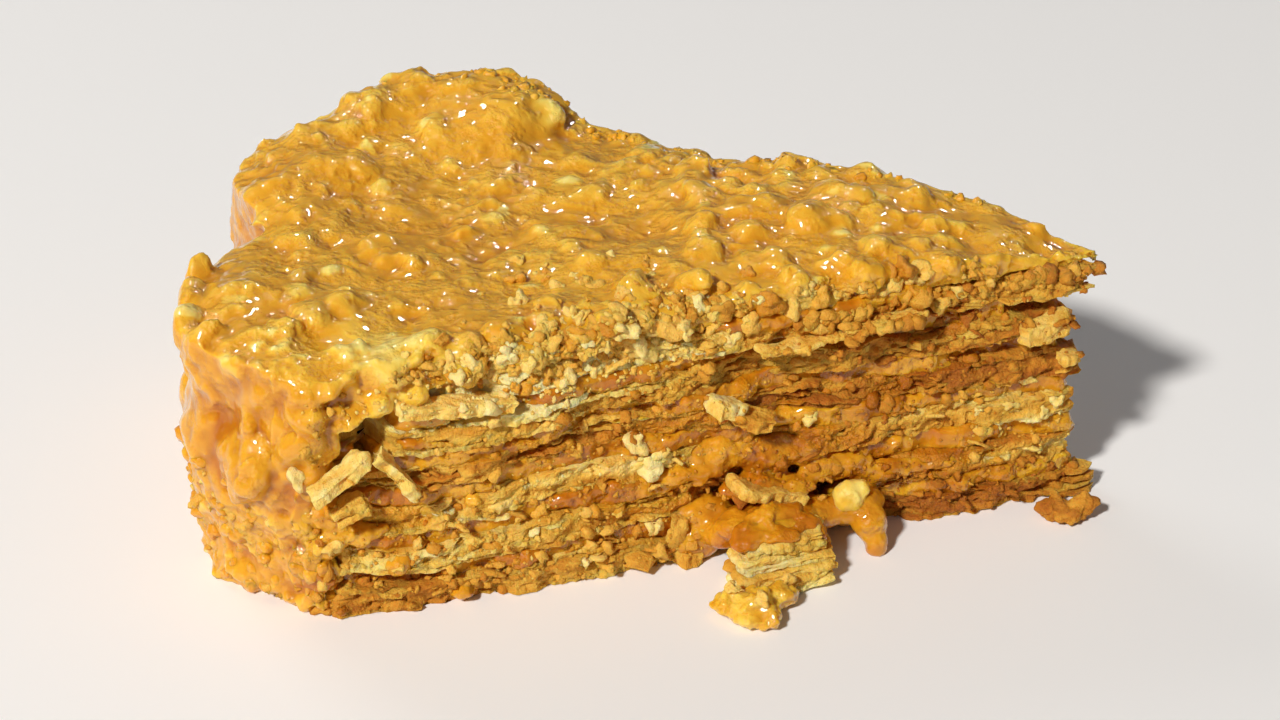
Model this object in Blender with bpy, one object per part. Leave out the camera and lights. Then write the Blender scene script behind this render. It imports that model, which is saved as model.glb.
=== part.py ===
"""A slice of layered puff pastry cake (mille-feuille), cut from a round cake.

Six flaky pastry sheets with five caramel cream fillings between them stand on the table.
A lumpy caramel coat with pastry crumbs in it covers the top and the outer rim.
At the front a piece of the lowest sheets has broken off, and cream has run out over it.
Metres, +Z up. The tip of the slice points to +X, and its front cut face looks to -Y.
"""

import math

import bmesh
import bpy
from mathutils import Matrix, Vector, noise

# Driving dimensions of the slice
CAKE_RADIUS = 0.1390
FRONT_CUT = math.radians(-22.5)
BACK_CUT = math.radians(22.5)
APEX = Vector((0.0750, 0.0, 0.0))
TIP_CUT_FRONT = 0.0060
TIP_CUT_BACK = 0.0200
FRONT_CORNER_WEAR, FRONT_CORNER_SPAN = 0.0145, math.radians(8.0)
BACK_CORNER_WEAR, BACK_CORNER_SPAN = 0.0270, math.radians(15.0)
RIM_NOTCH_ANGLE, RIM_NOTCH_SPAN, RIM_NOTCH_DEPTH = math.radians(-1.5), math.radians(7.5), 0.0085

# The stack, measured at the tip, from the table upwards
SHEET_THICKNESS = (0.0050, 0.0052, 0.0050, 0.0046, 0.0048, 0.0042)
FILLING_THICKNESS = (0.0022, 0.0026, 0.0024, 0.0022, 0.0024)
RIM_SQUEEZE = 0.87
GAP = 0.0003

# Relief of the cut faces
STATION_PITCH = 0.0048
LEAVES_PER_SHEET = 3
LEAF_REACH = 0.0014
LEAF_STEP_SHARE = 0.05
EDGE_DIP = 0.0007
FILLING_RECESS = 0.0010
FILLING_BULGE = 0.0012
RIM_RELIEF_SHARE = 0.20
RIM_CLEARANCE = 0.0011
FOOT_FLARE, FOOT_FLARE_HEIGHT = 0.0015, 0.0200
TIP_FLARE, TIP_FLARE_REACH = 0.0014, 0.0450

# The caramel coat
COAT_TOP = 0.0054
COAT_RIM = 0.0038
COAT_FOOT = 0.0030
COAT_FOOT_HEIGHT = 0.0012
COAT_LUMP = 0.0022
COAT_LIP = 0.0012
COAT_PITCH = 0.0039
LIP_FROM, LIP_DROP, LIP_RECESS = 0.1000, 0.0040, 0.0095
CRUMB_COUNT = 26
CRUMB_SIZES = (0.0013, 0.0025)

# Where something is missing from the front cut: node, distance from the apex, half width, depth
NOTCH_MIDDLE, NOTCH_HALF_WIDTH, NOTCH_DEPTH = 0.0535, 0.0215, 0.0090
FRONT_DENTS = (
    ("pastry_sheet_1", NOTCH_MIDDLE, NOTCH_HALF_WIDTH, NOTCH_DEPTH),
    ("cream_filling_1", NOTCH_MIDDLE, NOTCH_HALF_WIDTH, NOTCH_DEPTH),
    ("pastry_sheet_2", NOTCH_MIDDLE, NOTCH_HALF_WIDTH, NOTCH_DEPTH),
    ("cream_filling_2", NOTCH_MIDDLE, NOTCH_HALF_WIDTH, 0.0020),
    ("pastry_sheet_5", 0.1195, 0.0150, 0.0100),
    ("cream_filling_4", 0.1200, 0.0110, 0.0040),
    ("pastry_sheet_4", 0.0800, 0.0300, 0.0012),
    ("cream_filling_5", 0.0600, 0.0180, 0.0035),
    ("pastry_sheet_5", 0.0640, 0.0120, 0.0022),
)
# How far each node stops short of the tip, where it isn't whole
TIP_SHORTFALL = {
    "pastry_sheet_1": 0.0012,
    "cream_filling_1": 0.0040,
    "pastry_sheet_2": 0.0036,
    "cream_filling_2": 0.0045,
    "pastry_sheet_3": 0.0048,
    "cream_filling_3": 0.0055,
    "pastry_sheet_4": 0.0037,
    "cream_filling_4": 0.0060,
    "pastry_sheet_5": 0.0056,
    "cream_filling_5": 0.0150,
    "pastry_sheet_6": 0.0025,
}

# Flakes and crumbs stuck to the cut face: node, distance from the apex, out of the cut, size along, out and up
STUCK_FLAKES = (
    ("pastry_sheet_5", 0.0165, 0.0020, (0.0075, 0.0050, 0.0034)),
    ("pastry_sheet_4", 0.0620, 0.0016, (0.0080, 0.0052, 0.0028)),
    ("pastry_sheet_3", 0.0780, 0.0014, (0.0056, 0.0044, 0.0030)),
    ("pastry_sheet_4", 0.1180, 0.0022, (0.0085, 0.0062, 0.0022)),
    ("pastry_sheet_4", 0.1060, 0.0018, (0.0064, 0.0054, 0.0022)),
    ("pastry_sheet_2", 0.0960, 0.0016, (0.0050, 0.0042, 0.0030)),
    ("pastry_sheet_1", 0.0800, 0.0040, (0.0052, 0.0050, 0.0028)),
)

# The broken-off pieces and the cream that ran out: middle as distance from the apex, out of the cut and up
OOZE_FROM, OOZE_TO, OOZE_TOP = 0.0385, 0.0700, 0.0088
OOZE_STATIONS, OOZE_ROWS = 36, 4
DRIP_REACH, DRIP_OUT = 0.0437, 0.0088
FOLD_REACH, FOLD_OUT = 0.0660, 0.0036
NUT_PLACE, NUT_SIZE = (0.0470, 0.0036, 0.0084), (0.0058, 0.0052, 0.0056)
CHUNK_PLACE, CHUNK_SIZE = (0.0612, 0.0113, 0.0046), (0.0174, 0.0080, 0.0080)
CLUSTER_PLACE, CLUSTER_SIZE = (0.0665, 0.0198, 0.0024), (0.0118, 0.0070, 0.0044)
TIP_CRUMB_PLACE, TIP_CRUMB_SIZE = (0.0122, 0.0086, 0.0028), (0.0078, 0.0056, 0.0050)

COLOURS = {
    "pastry": (0.62, 0.37, 0.13),
    "cream": (0.60, 0.31, 0.08),
    "coat": (0.65, 0.33, 0.075),
}


def smooth(share):
    """0 below 0, 1 above 1, and an S-curve between."""
    share = min(1.0, max(0.0, share))
    return share * share * (3 - 2 * share)


def hill(offset, half_width):
    """1 at the middle of a rounded hill and 0 beyond its half width."""
    return smooth(1.0 - abs(offset) / half_width)


def ripple(seed, *place):
    """Smooth noise from -1 to 1 at a place given in units of its grain."""
    point = Vector((*place, 0.0, 0.0)[:3])
    return noise.noise(point + Vector((seed * 7.31, seed * 3.77, seed * 5.13)))


def polar(reach, angle, height=0.0):
    """The point at this distance from the apex and this angle from the slice's middle line."""
    turned = Vector((-math.cos(angle), math.sin(angle), 0.0)) * reach
    return APEX + turned + Vector((0.0, 0.0, height))


def front_point(reach, out, height=0.0):
    """The point this far along the front cut from the apex, and this far out of it."""
    outward = Vector((-math.sin(-FRONT_CUT), -math.cos(FRONT_CUT), 0.0))
    outward.x = -outward.x
    return polar(reach, FRONT_CUT, height) + outward * out


def rim_radius(angle):
    """The sheets' radius: round, with a notch in it, and the two corners of the rim worn away."""
    front = max(0.0, 1.0 - (angle - FRONT_CUT) / FRONT_CORNER_SPAN) ** 1.5
    back = max(0.0, 1.0 - (BACK_CUT - angle) / BACK_CORNER_SPAN) ** 1.5
    notch = RIM_NOTCH_DEPTH * hill(angle - RIM_NOTCH_ANGLE, RIM_NOTCH_SPAN)
    return CAKE_RADIUS - FRONT_CORNER_WEAR * front - BACK_CORNER_WEAR * back - notch


def level(height_at_tip, point):
    """The height of a flat interface that sinks from the tip towards the rim."""
    run = (APEX.x - point.x) / CAKE_RADIUS
    return height_at_tip * (1.0 - (1.0 - RIM_SQUEEZE) * run)


def stack_levels():
    """(node, low, high) of each layer at the tip, from the table upwards."""
    layers, height = [], 0.0
    for number, thickness in enumerate(SHEET_THICKNESS, start=1):
        layers.append((f"pastry_sheet_{number}", height, height + thickness))
        height += thickness
        if number <= len(FILLING_THICKNESS):
            filling = FILLING_THICKNESS[number - 1]
            layers.append((f"cream_filling_{number}", height, height + filling))
            height += filling
    return layers


STACK_HEIGHT = stack_levels()[-1][2]


def outline(shortfall):
    """Stations round the slice, anticlockwise: (point, outward normal, distance run, relief share, reach)."""
    path = []
    for cut, near_tip, way in ((FRONT_CUT, TIP_CUT_FRONT, -1), (BACK_CUT, TIP_CUT_BACK, 1)):
        near, far = near_tip + shortfall, rim_radius(cut)
        count = round((far - near) / STATION_PITCH)
        steps = range(count + 1) if way > 0 else range(count, -1, -1)
        for step in steps:
            reach = near + (far - near) * step / count
            share = 1.0 if step < count else RIM_RELIEF_SHARE
            path.append((polar(reach, cut), share, reach if cut == FRONT_CUT else 0.0))
        if cut == FRONT_CUT:
            path.append(((path[-1][0] + polar(TIP_CUT_BACK + shortfall, BACK_CUT)) / 2, 0.6, 0.0))
    arc_count = round(CAKE_RADIUS * (BACK_CUT - FRONT_CUT) / STATION_PITCH)
    for step in range(1, arc_count):
        angle = BACK_CUT + (FRONT_CUT - BACK_CUT) * step / arc_count
        path.append((polar(rim_radius(angle), angle), RIM_RELIEF_SHARE, 0.0))
    stations, run = [], 0.0
    for index, (point, share, reach) in enumerate(path):
        before = path[index - 1][0]
        after = path[(index + 1) % len(path)][0]
        along = (after - before).normalized()
        normal = Vector((along.y, -along.x, 0.0))
        run += (point - before).length if index else 0.0
        stations.append((point, normal, run, share, reach))
    return stations


def dent_depth(node, reach):
    """How far this node's front cut lies back at this distance from the apex."""
    if not reach:
        return 0.0
    found = [depth * hill(reach - middle, width) for name, middle, width, depth in FRONT_DENTS if name == node]
    return sum(found)


def behind_lip(point):
    """The top sheet's point, moved back from the front cut where the coat hangs down over it."""
    outward = front_point(0.0, 1.0) - APEX
    reach = (point - APEX).dot(polar(1.0, FRONT_CUT) - APEX)
    limit = -LIP_RECESS * smooth((reach - LIP_FROM + 0.010) / 0.008)
    out = (point - APEX).dot(outward)
    return point + outward * min(0.0, limit - out) if limit < 0.0 else point


def front_offset(node, reach, height):
    """How far this node's front cut stands out: its foot spreads, and it lies back where it is dented."""
    if not reach:
        return 0.0
    low = 1.0 - smooth(height / FOOT_FLARE_HEIGHT)
    tip = 1.0 - smooth(reach / TIP_FLARE_REACH)
    at_rim = smooth((rim_radius(FRONT_CUT) - reach) / 0.008)
    return (FOOT_FLARE * low + TIP_FLARE * tip * (0.4 + 0.6 * low)) * at_rim - dent_depth(node, reach)


def calm(node, reach):
    """How much relief is left: less inside a dent, so that what fills the dent stays clear."""
    return 1.0 - 0.85 * min(1.0, dent_depth(node, reach) / 0.004)


def add_material(obj, kind, roughness):
    material = bpy.data.materials.get(kind) or bpy.data.materials.new(kind)
    material.use_nodes = True
    shader = material.node_tree.nodes["Principled BSDF"]
    shader.inputs["Base Color"].default_value = (*COLOURS[kind], 1.0)
    shader.inputs["Roughness"].default_value = roughness
    shader.inputs["Metallic"].default_value = 0.0
    obj.data.materials.append(material)


def add_object(name, bm, collection):
    bmesh.ops.recalc_face_normals(bm, faces=bm.faces)
    mesh = bpy.data.meshes.new(name)
    bm.to_mesh(mesh)
    bm.free()
    obj = bpy.data.objects.new(name, mesh)
    collection.objects.link(obj)
    return obj


def ring_solid(name, station_count, row_count, place, collection):
    """A drum with one segment for each station, cut into rows, whose points are moved to place(station, row)."""
    bm = bmesh.new()
    bmesh.ops.create_cone(
        bm, cap_ends=True, cap_tris=False, segments=station_count, radius1=1.0, radius2=1.0, depth=1.0
    )
    for cut in range(1, row_count):
        height = cut / row_count - 0.5
        everything = bm.verts[:] + bm.edges[:] + bm.faces[:]
        bmesh.ops.bisect_plane(bm, geom=everything, plane_co=(0, 0, height), plane_no=(0, 0, 1))
    for vert in bm.verts:
        turn = math.atan2(vert.co.y, vert.co.x) / math.tau
        station = round(turn * station_count) % station_count
        row = round((vert.co.z + 0.5) * row_count)
        vert.co = place(station, row)
    bmesh.ops.triangulate(bm, faces=bm.faces)
    return add_object(name, bm, collection)


def add_sheet(name, low, high, seed, collection):
    """A pastry sheet: thin leaves that reach out by different amounts at the cut faces."""
    stations = outline(TIP_SHORTFALL.get(name, 0.0))
    rows = 2 * LEAVES_PER_SHEET - 1
    floor_level = 0.0 if low == 0.0 else GAP

    def place(index, row):
        point, normal, run, share, reach = stations[index]
        leaf = (row + 1) // 2 if row % 2 else row // 2
        leaf = min(leaf, LEAVES_PER_SHEET - 1) if row % 2 == 0 else (row - 1) // 2
        split = 0.08 * ripple(seed + leaf, run / 0.020)
        step = LEAF_STEP_SHARE * (1 if row % 2 == 0 else -1)
        rise = ((row + 1) // 2) / LEAVES_PER_SHEET + (split + step if 0 < row < rows else 0.0)
        bottom = level(low, point) + floor_level
        top = level(high, point) - GAP
        if row == 0 and low > 0.0:
            bottom += EDGE_DIP * abs(ripple(seed + 20, run / 0.017))
        if row == rows:
            top -= EDGE_DIP * abs(ripple(seed + 21, run / 0.017))
        broad = ripple(seed + 31 * leaf, run / 0.013)
        fine = ripple(seed + 17 * leaf, run / 0.0052)
        relief = share * LEAF_REACH * (0.9 * broad + 0.7 * fine) * calm(name, reach)
        moved = point + normal * (relief + front_offset(name, reach, bottom))
        if name == "pastry_sheet_6":
            moved = behind_lip(moved)
        return Vector((moved.x, moved.y, bottom + (top - bottom) * rise))

    obj = ring_solid(name, len(stations), rows, place, collection)
    add_material(obj, "pastry", 0.75)
    return obj


def add_filling(name, low, high, seed, collection):
    """A cream filling: set back between the sheets, with a soft bulging edge."""
    stations = outline(TIP_SHORTFALL.get(name, 0.0))

    def place(index, row):
        point, normal, run, share, reach = stations[index]
        bulge = FILLING_BULGE * (0.6 + ripple(seed, run / 0.016)) if row == 1 else 0.0
        wander = 0.0006 * ripple(seed + 5, run / 0.009)
        bottom = level(low, point) + GAP
        top = level(high, point) - GAP
        relief = share * (bulge + wander) * calm(name, reach) - FILLING_RECESS
        moved = point + normal * (relief + front_offset(name, reach, bottom))
        return Vector((moved.x, moved.y, bottom + (top - bottom) * row / 2))

    obj = ring_solid(name, len(stations), 2, place, collection)
    add_material(obj, "cream", 0.35)
    return obj


def coat_near(angle):
    """How near the coat comes to the apex at this angle: the slice's tip is cut off askew."""
    front = polar(TIP_CUT_FRONT, FRONT_CUT) - APEX
    along = polar(TIP_CUT_BACK, BACK_CUT) - APEX - front
    way = polar(1.0, angle) - APEX
    return (front.x * along.y - front.y * along.x) / (way.x * along.y - way.y * along.x)


def coat_section(angle, lip):
    """The coat's section at this angle, as (reach, height above the table, share of lumps): inside, then outside."""
    near = coat_near(angle)
    inner = rim_radius(angle) + RIM_CLEARANCE
    top_count = round((CAKE_RADIUS - TIP_CUT_FRONT) / COAT_PITCH)
    side_count = round(STACK_HEIGHT / COAT_PITCH)
    shelf = level(STACK_HEIGHT, polar(inner, angle)) + GAP - lip * LIP_DROP
    mid_shelf = level(STACK_HEIGHT, polar(LIP_FROM, angle)) + GAP
    near_shelf = level(STACK_HEIGHT, polar(near, angle)) + GAP
    section = [(inner, COAT_FOOT_HEIGHT, 0.0), (inner, shelf, 0.0), (LIP_FROM, mid_shelf, 0.0), (near, near_shelf, 0.0)]
    for step in range(top_count + 1):
        reach = near + (inner + COAT_RIM - near) * step / top_count
        under = level(STACK_HEIGHT, polar(reach, angle)) + GAP
        share = step / top_count
        rounding = 0.0014 * smooth((share - 0.94) / 0.06)
        section.append((reach, under + coat_thickness(reach, angle) - rounding, smooth(share / 0.06)))
    crown = section[-1][1]
    for step in range(1, side_count + 1):
        drop = step / side_count
        height = crown + (COAT_FOOT_HEIGHT - crown) * drop
        belly = COAT_RIM + 0.0020 * hill(drop - 0.64, 0.30) - 0.0012 * hill(drop - 0.28, 0.26)
        thickness = belly + (COAT_FOOT - belly) * smooth((drop - 0.75) / 0.25)
        section.append((inner + thickness, height, 1.0 - 0.6 * smooth((drop - 0.8) / 0.2)))
    return section


def coat_thickness(reach, angle):
    """The coat's thickness on top: a raised rim, a mound at the back corner, and thinner towards the tip."""
    backwards = smooth((angle + math.radians(6.0)) / math.radians(12.0))
    ridge = (0.0012 + 0.0022 * backwards) * hill(reach - 0.133, 0.018)
    plateau = smooth((reach - 0.0945) / 0.0080) * (1.0 - smooth((reach - 0.1200) / 0.0200))
    mound = 0.0060 * plateau * smooth((angle - math.radians(8.5)) / math.radians(9.0))
    tip = -0.0034 * (1.0 - smooth((reach - 0.0060) / 0.0360))
    hollow = -0.0016 * hill(reach - 0.085, 0.024) * hill(angle, math.radians(14.0))
    sag = -0.0026 * hill(reach - 0.077, 0.026) * smooth((angle - math.radians(12.0)) / math.radians(10.0))
    return COAT_TOP + ridge + mound + tip + hollow + sag


def lumps(point, grain):
    """Rounded lumps, as crumbs make under the caramel."""
    cell = noise.voronoi(point / grain)[0][0]
    return 0.75 - 1.35 * cell + 0.35 * noise.noise(point / (2.4 * grain))


def add_coat(collection):
    """The caramel coat over the top and down the rim: one section after another round the apex, joined and closed."""
    turns = round(CAKE_RADIUS * (BACK_CUT - FRONT_CUT) / COAT_PITCH)
    angles = [FRONT_CUT + (BACK_CUT - FRONT_CUT) * step / turns for step in range(turns + 1)]
    sections = [coat_section(angle, 1.0 if step < 2 else 0.0) for step, angle in enumerate(angles)]
    around = len(sections[0])
    bm = bmesh.new()
    bmesh.ops.create_grid(bm, x_segments=around, y_segments=turns, size=1.0)
    for vert in bm.verts:
        along = round((vert.co.x + 1.0) / 2.0 * around) % around
        turn = round((vert.co.y + 1.0) / 2.0 * turns)
        vert.co = coat_point(sections[turn][along], sections[turn], angles[turn], turn / turns)
    bmesh.ops.remove_doubles(bm, verts=bm.verts, dist=0.000001)
    open_edges = [edge for edge in bm.edges if edge.is_boundary]
    bmesh.ops.holes_fill(bm, edges=open_edges, sides=0)
    bmesh.ops.triangulate(bm, faces=bm.faces)
    coat = add_object("caramel_coat", bm, collection)
    add_material(coat, "coat", 0.25)
    return coat


def coat_point(spot, section, angle, turn_share):
    """A point of the coat: its section's, raised into lumps, and at both cuts swollen outwards."""
    reach, height, share = spot
    point = polar(reach, angle, height)
    if share == 0.0:
        return point
    sideways = polar(1.0, angle) - APEX
    crown = section[4 + round((CAKE_RADIUS - TIP_CUT_FRONT) / COAT_PITCH)][1]
    on_top = height > crown - 0.0004
    outward = Vector((0, 0, 1)) if on_top else sideways
    if on_top and reach > 0.93 * section[0][0]:
        outward = (outward + sideways).normalized()
    point = point + outward * COAT_LUMP * share * lumps(point, 0.0105)
    if turn_share in (0.0, 1.0):
        across = Vector((math.sin(angle), math.cos(angle), 0.0)) * (1.0 if turn_share else -1.0)
        point += across * COAT_LIP * (0.5 + 0.7 * ripple(3, reach / 0.012, height / 0.012))
        point.z -= 0.0012 if on_top else 0.0
    return point


def add_lump(place, size, seed, detail, collection, boxy=0.0):
    """An uneven lump at a place given by reach, out and height; boxy squares it off into flat flaky sides."""
    bm = bmesh.new()
    bmesh.ops.create_icosphere(bm, subdivisions=detail, radius=0.5)
    middle = front_point(*place)
    turn = Matrix.Rotation(FRONT_CUT, 3, "Z")
    for vert in bm.verts:
        way = vert.co.normalized()
        square = 0.5 / max(abs(way.x), abs(way.y), abs(way.z))
        radius = 0.5 + boxy * (min(square, 0.78) - 0.5)
        radius *= 1.0 + 0.22 * ripple(seed, way.x * 1.7, way.y * 1.7, way.z * 2.3)
        vert.co = middle + turn @ Vector([way[axis] * radius * size[axis] for axis in range(3)])
        vert.co.z = max(vert.co.z, GAP)
    return add_object(f"lump_{seed}", bm, collection)


def fuse(body, lumps_to_fuse, kind):
    """Joins the lumps to the body with one Boolean union, and removes them."""
    names = {obj.name for obj in lumps_to_fuse}
    holder = bpy.data.collections.new(f"{body.name}_lumps")
    bpy.context.scene.collection.children.link(holder)
    for obj in lumps_to_fuse:
        for owner in list(obj.users_collection):
            owner.objects.unlink(obj)
        holder.objects.link(obj)
    union = body.modifiers.new("fuse_lumps", "BOOLEAN")
    union.operation = "UNION"
    union.operand_type = "COLLECTION"
    union.collection = holder
    union.solver = "EXACT"
    graph = bpy.context.evaluated_depsgraph_get()
    joined = bpy.data.meshes.new_from_object(body.evaluated_get(graph), depsgraph=graph)
    body.modifiers.clear()
    body.data = joined
    joined.name = body.name
    while len(joined.materials) > 1:
        joined.materials.pop(index=len(joined.materials) - 1)
    for obj in [obj for obj in bpy.data.objects if obj.name in names]:
        bpy.data.objects.remove(obj)
    bpy.data.collections.remove(holder)


def crumb_places():
    """Places along the coat's front edge for crumbs, spread by a seeded rule."""
    for number in range(CRUMB_COUNT):
        share = (number + 0.5) / CRUMB_COUNT
        reach = 0.0300 + 0.0920 * share + 0.0030 * noise.cell(Vector((number, 2.5, 0.5)))
        inward = 0.0075 * abs(noise.cell(Vector((number, 7.5, 0.5))))
        size = CRUMB_SIZES[0] + (CRUMB_SIZES[1] - CRUMB_SIZES[0]) * abs(noise.cell(Vector((number, 4.5, 0.5))))
        point = front_point(reach, 0.0006 - inward)
        top = level(STACK_HEIGHT, point) + GAP + coat_thickness(reach, FRONT_CUT)
        yield (reach, 0.0006 - inward, top - 0.0006 - 0.12 * (0.0010 - inward) / 0.001 * 0.0010), size


def fuse_toppings(collection):
    """The larger crumbs on the coat's front edge, and the flakes stuck to the cut face."""
    crumbs = [
        add_lump(place, (2.2 * size, 2.0 * size, 1.8 * size), 200 + number, 1, collection, boxy=0.6)
        for number, (place, size) in enumerate(crumb_places())
    ]
    fuse(bpy.data.objects["caramel_coat"], crumbs, "coat")
    layers = {name: (low, high) for name, low, high in stack_levels()}
    for node in sorted({flake[0] for flake in STUCK_FLAKES}):
        flakes = []
        for number, (name, reach, out, size) in enumerate(STUCK_FLAKES):
            if name != node:
                continue
            middle = level(sum(layers[node]) / 2, front_point(reach, out))
            flakes.append(add_lump((reach, out, middle), size, 300 + number, 1, collection, boxy=0.7))
        fuse(bpy.data.objects[node], flakes, "pastry")


def ooze_outline():
    """Stations round the cream that ran out, as (reach, out): along the notch's back, then round the front."""
    half = OOZE_STATIONS // 2
    span = OOZE_TO - OOZE_FROM
    back, front = [], []
    for step in range(half):
        reach = OOZE_FROM + span * step / (half - 1)
        depth = dent_depth("pastry_sheet_1", reach)
        room = 0.0018 + 0.0024 * (1.0 - min(1.0, depth / 0.004)) + FOOT_FLARE
        inside = room - depth
        drip = (DRIP_OUT - 0.0035) * hill(reach - DRIP_REACH, 0.0062)
        fold = (FOLD_OUT - 0.0030) * hill(reach - FOLD_REACH, 0.0065)
        back.append((reach, inside))
        hidden = 0.0012 * hill(reach - CHUNK_PLACE[0], CHUNK_SIZE[0] / 2)
        front.append((reach, max(inside + 0.0024, 0.0030 + drip + fold - hidden)))
    return back + front[::-1]


def add_ooze(collection):
    """Cream that ran out into the notch and down to the table, with a nut-sized crumb stuck in it."""
    path = ooze_outline()
    half = OOZE_STATIONS // 2

    def place(index, row):
        reach, out = path[index]
        rise = row / OOZE_ROWS
        ends = min(1.0, (reach - OOZE_FROM) / 0.006, (OOZE_TO - reach) / 0.006)
        top = OOZE_TOP * (0.45 + 0.55 * smooth(ends)) + 0.0007 * ripple(8, reach / 0.006)
        if index >= half:
            top -= 0.0012
            out -= 0.0013 * smooth((rise - 0.4) / 0.6) + 0.0005 * (1.0 - rise)
        return front_point(reach, out, GAP + (top - GAP) * rise)

    obj = ring_solid("oozed_cream", OOZE_STATIONS, OOZE_ROWS, place, collection)
    add_material(obj, "cream", 0.25)
    fuse(obj, [add_lump(NUT_PLACE, NUT_SIZE, 401, 2, collection, boxy=0.3)], "cream")
    return obj


def centre_on_origin():
    """Moves every piece alike, so that the slice's box is centred over the origin."""
    spots = [vert.co for obj in bpy.data.objects if obj.type == "MESH" for vert in obj.data.vertices]
    middle = [(min(spot[axis] for spot in spots) + max(spot[axis] for spot in spots)) / 2 for axis in (0, 1)]
    for obj in bpy.data.objects:
        obj.data.transform(Matrix.Translation((-middle[0], -middle[1], 0.0)))
    print("moved to the middle by", [round(-value * 1000, 3) for value in middle], "mm")


def make_scene():
    for obj in list(bpy.data.objects):
        bpy.data.objects.remove(obj)
    collection = bpy.data.collections.new("mille_feuille_slice")
    bpy.context.scene.collection.children.link(collection)
    for number, (name, low, high) in enumerate(stack_levels()):
        add = add_sheet if name.startswith("pastry") else add_filling
        add(name, low, high, 11 * number + 1, collection)
    add_coat(collection)
    fuse_toppings(collection)
    add_ooze(collection)
    chunk = add_lump(CHUNK_PLACE, CHUNK_SIZE, 501, 3, collection, boxy=0.9)
    chunk.name = "pastry_chunk"
    add_material(chunk, "pastry", 0.7)
    cluster = add_lump(CLUSTER_PLACE, CLUSTER_SIZE, 502, 3, collection, boxy=0.5)
    cluster.name = "crumb_cluster"
    add_material(cluster, "pastry", 0.4)
    crumb = add_lump(TIP_CRUMB_PLACE, TIP_CRUMB_SIZE, 503, 2, collection, boxy=0.5)
    crumb.name = "loose_crumb"
    add_material(crumb, "pastry", 0.7)
    centre_on_origin()


make_scene()
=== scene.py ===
# %% [markdown]
# # A slice of mille-feuille
#
# The real cake is a round stack of flaky puff pastry sheets with caramel cream between them, and more of that cream,
# full of crumbs, spread over the top and down the rim. This is an eighth of it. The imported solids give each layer's
# place and size, and the lesson dresses them with crumbs, flakes, gloss and lumps.

# %% The fixed frame
import math

import bpy
import numpy as np
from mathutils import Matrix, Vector, kdtree


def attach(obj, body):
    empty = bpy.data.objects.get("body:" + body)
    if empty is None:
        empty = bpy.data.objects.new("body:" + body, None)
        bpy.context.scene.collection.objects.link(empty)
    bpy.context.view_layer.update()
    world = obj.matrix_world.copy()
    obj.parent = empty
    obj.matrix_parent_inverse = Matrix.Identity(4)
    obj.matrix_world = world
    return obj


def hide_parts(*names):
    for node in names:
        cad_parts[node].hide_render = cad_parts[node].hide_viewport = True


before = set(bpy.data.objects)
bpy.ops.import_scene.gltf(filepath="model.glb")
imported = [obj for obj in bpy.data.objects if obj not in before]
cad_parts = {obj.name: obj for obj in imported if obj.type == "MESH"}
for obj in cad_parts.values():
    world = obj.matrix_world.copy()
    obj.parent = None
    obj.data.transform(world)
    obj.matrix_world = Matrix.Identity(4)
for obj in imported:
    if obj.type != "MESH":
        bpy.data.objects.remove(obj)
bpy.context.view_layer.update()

# %% [markdown]
# ## Driving dimensions
#
# The slice is described from its apex, the middle of the whole cake. A place on the shown cut face is given by
# its reach along the cut from the apex, how far out of the cut it lies, and its height.

# %% Dimensions of the slice
MM = 0.001
APEX = np.array((74.62, 2.65)) * MM
FRONT_CUT, BACK_CUT = math.radians(-22.5), math.radians(22.5)
RIM_RADIUS = 139.0 * MM
TIP_FRONT, TIP_BACK = 6.0 * MM, 20.0 * MM
SHEETS = np.array((5.0, 5.2, 5.0, 4.6, 4.8, 4.2)) * MM
FILLINGS = np.array((2.2, 2.6, 2.4, 2.2, 2.4)) * MM
RIM_SQUEEZE = 0.87
BAND_DEPTH = 8.0 * MM
ALONG_FRONT = np.array((-math.cos(FRONT_CUT), math.sin(FRONT_CUT)))
OUT_OF_FRONT = np.array((-math.sin(FRONT_CUT), -math.cos(FRONT_CUT)))
OUT_OF_FRONT_3D = np.array((*OUT_OF_FRONT, 0.0))

layer_heights = {}
height = 0.0
for number, thickness in enumerate(SHEETS, start=1):
    layer_heights[f"pastry_sheet_{number}"] = (height, height + thickness)
    height += thickness
    if number <= len(FILLINGS):
        layer_heights[f"cream_filling_{number}"] = (height, height + FILLINGS[number - 1])
        height += FILLINGS[number - 1]
STACK_HEIGHT = height
print("the stack at the tip is", round(STACK_HEIGHT / MM, 1), "mm high")

# %% [markdown]
# ## Noise to shape food with
#
# Nothing here is straight or even, so noise does most of the shaping. It is smooth and random, its bumps have a
# chosen size, and it takes all points at once, which is quick. Adding finer and finer noise makes it rough.

# %% Curves and noise
def smooth(share):
    """0 below 0, 1 above 1, and an S-curve between."""
    share = np.clip(share, 0.0, 1.0)
    return share * share * (3 - 2 * share)


def hill(offset, half_width):
    """1 in the middle of a rounded hill, and 0 beyond its half width."""
    return smooth(1.0 - np.abs(offset) / half_width)


def scramble(cells, seed):
    """A random number from 0 to 1 for each whole-numbered cell."""
    mixed = (cells[..., 0] * 73856093) ^ (cells[..., 1] * 19349663) ^ (cells[..., 2] * 83492791) ^ (seed * 2654435)
    mixed = (mixed ^ (mixed >> 13)) * 1274126177 & 0x7FFFFFFF
    mixed = (mixed ^ (mixed >> 15)) * 974711 & 0x7FFFFFFF
    return ((mixed ^ (mixed >> 11)) & 0xFFFFF) / 0xFFFFF


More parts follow.
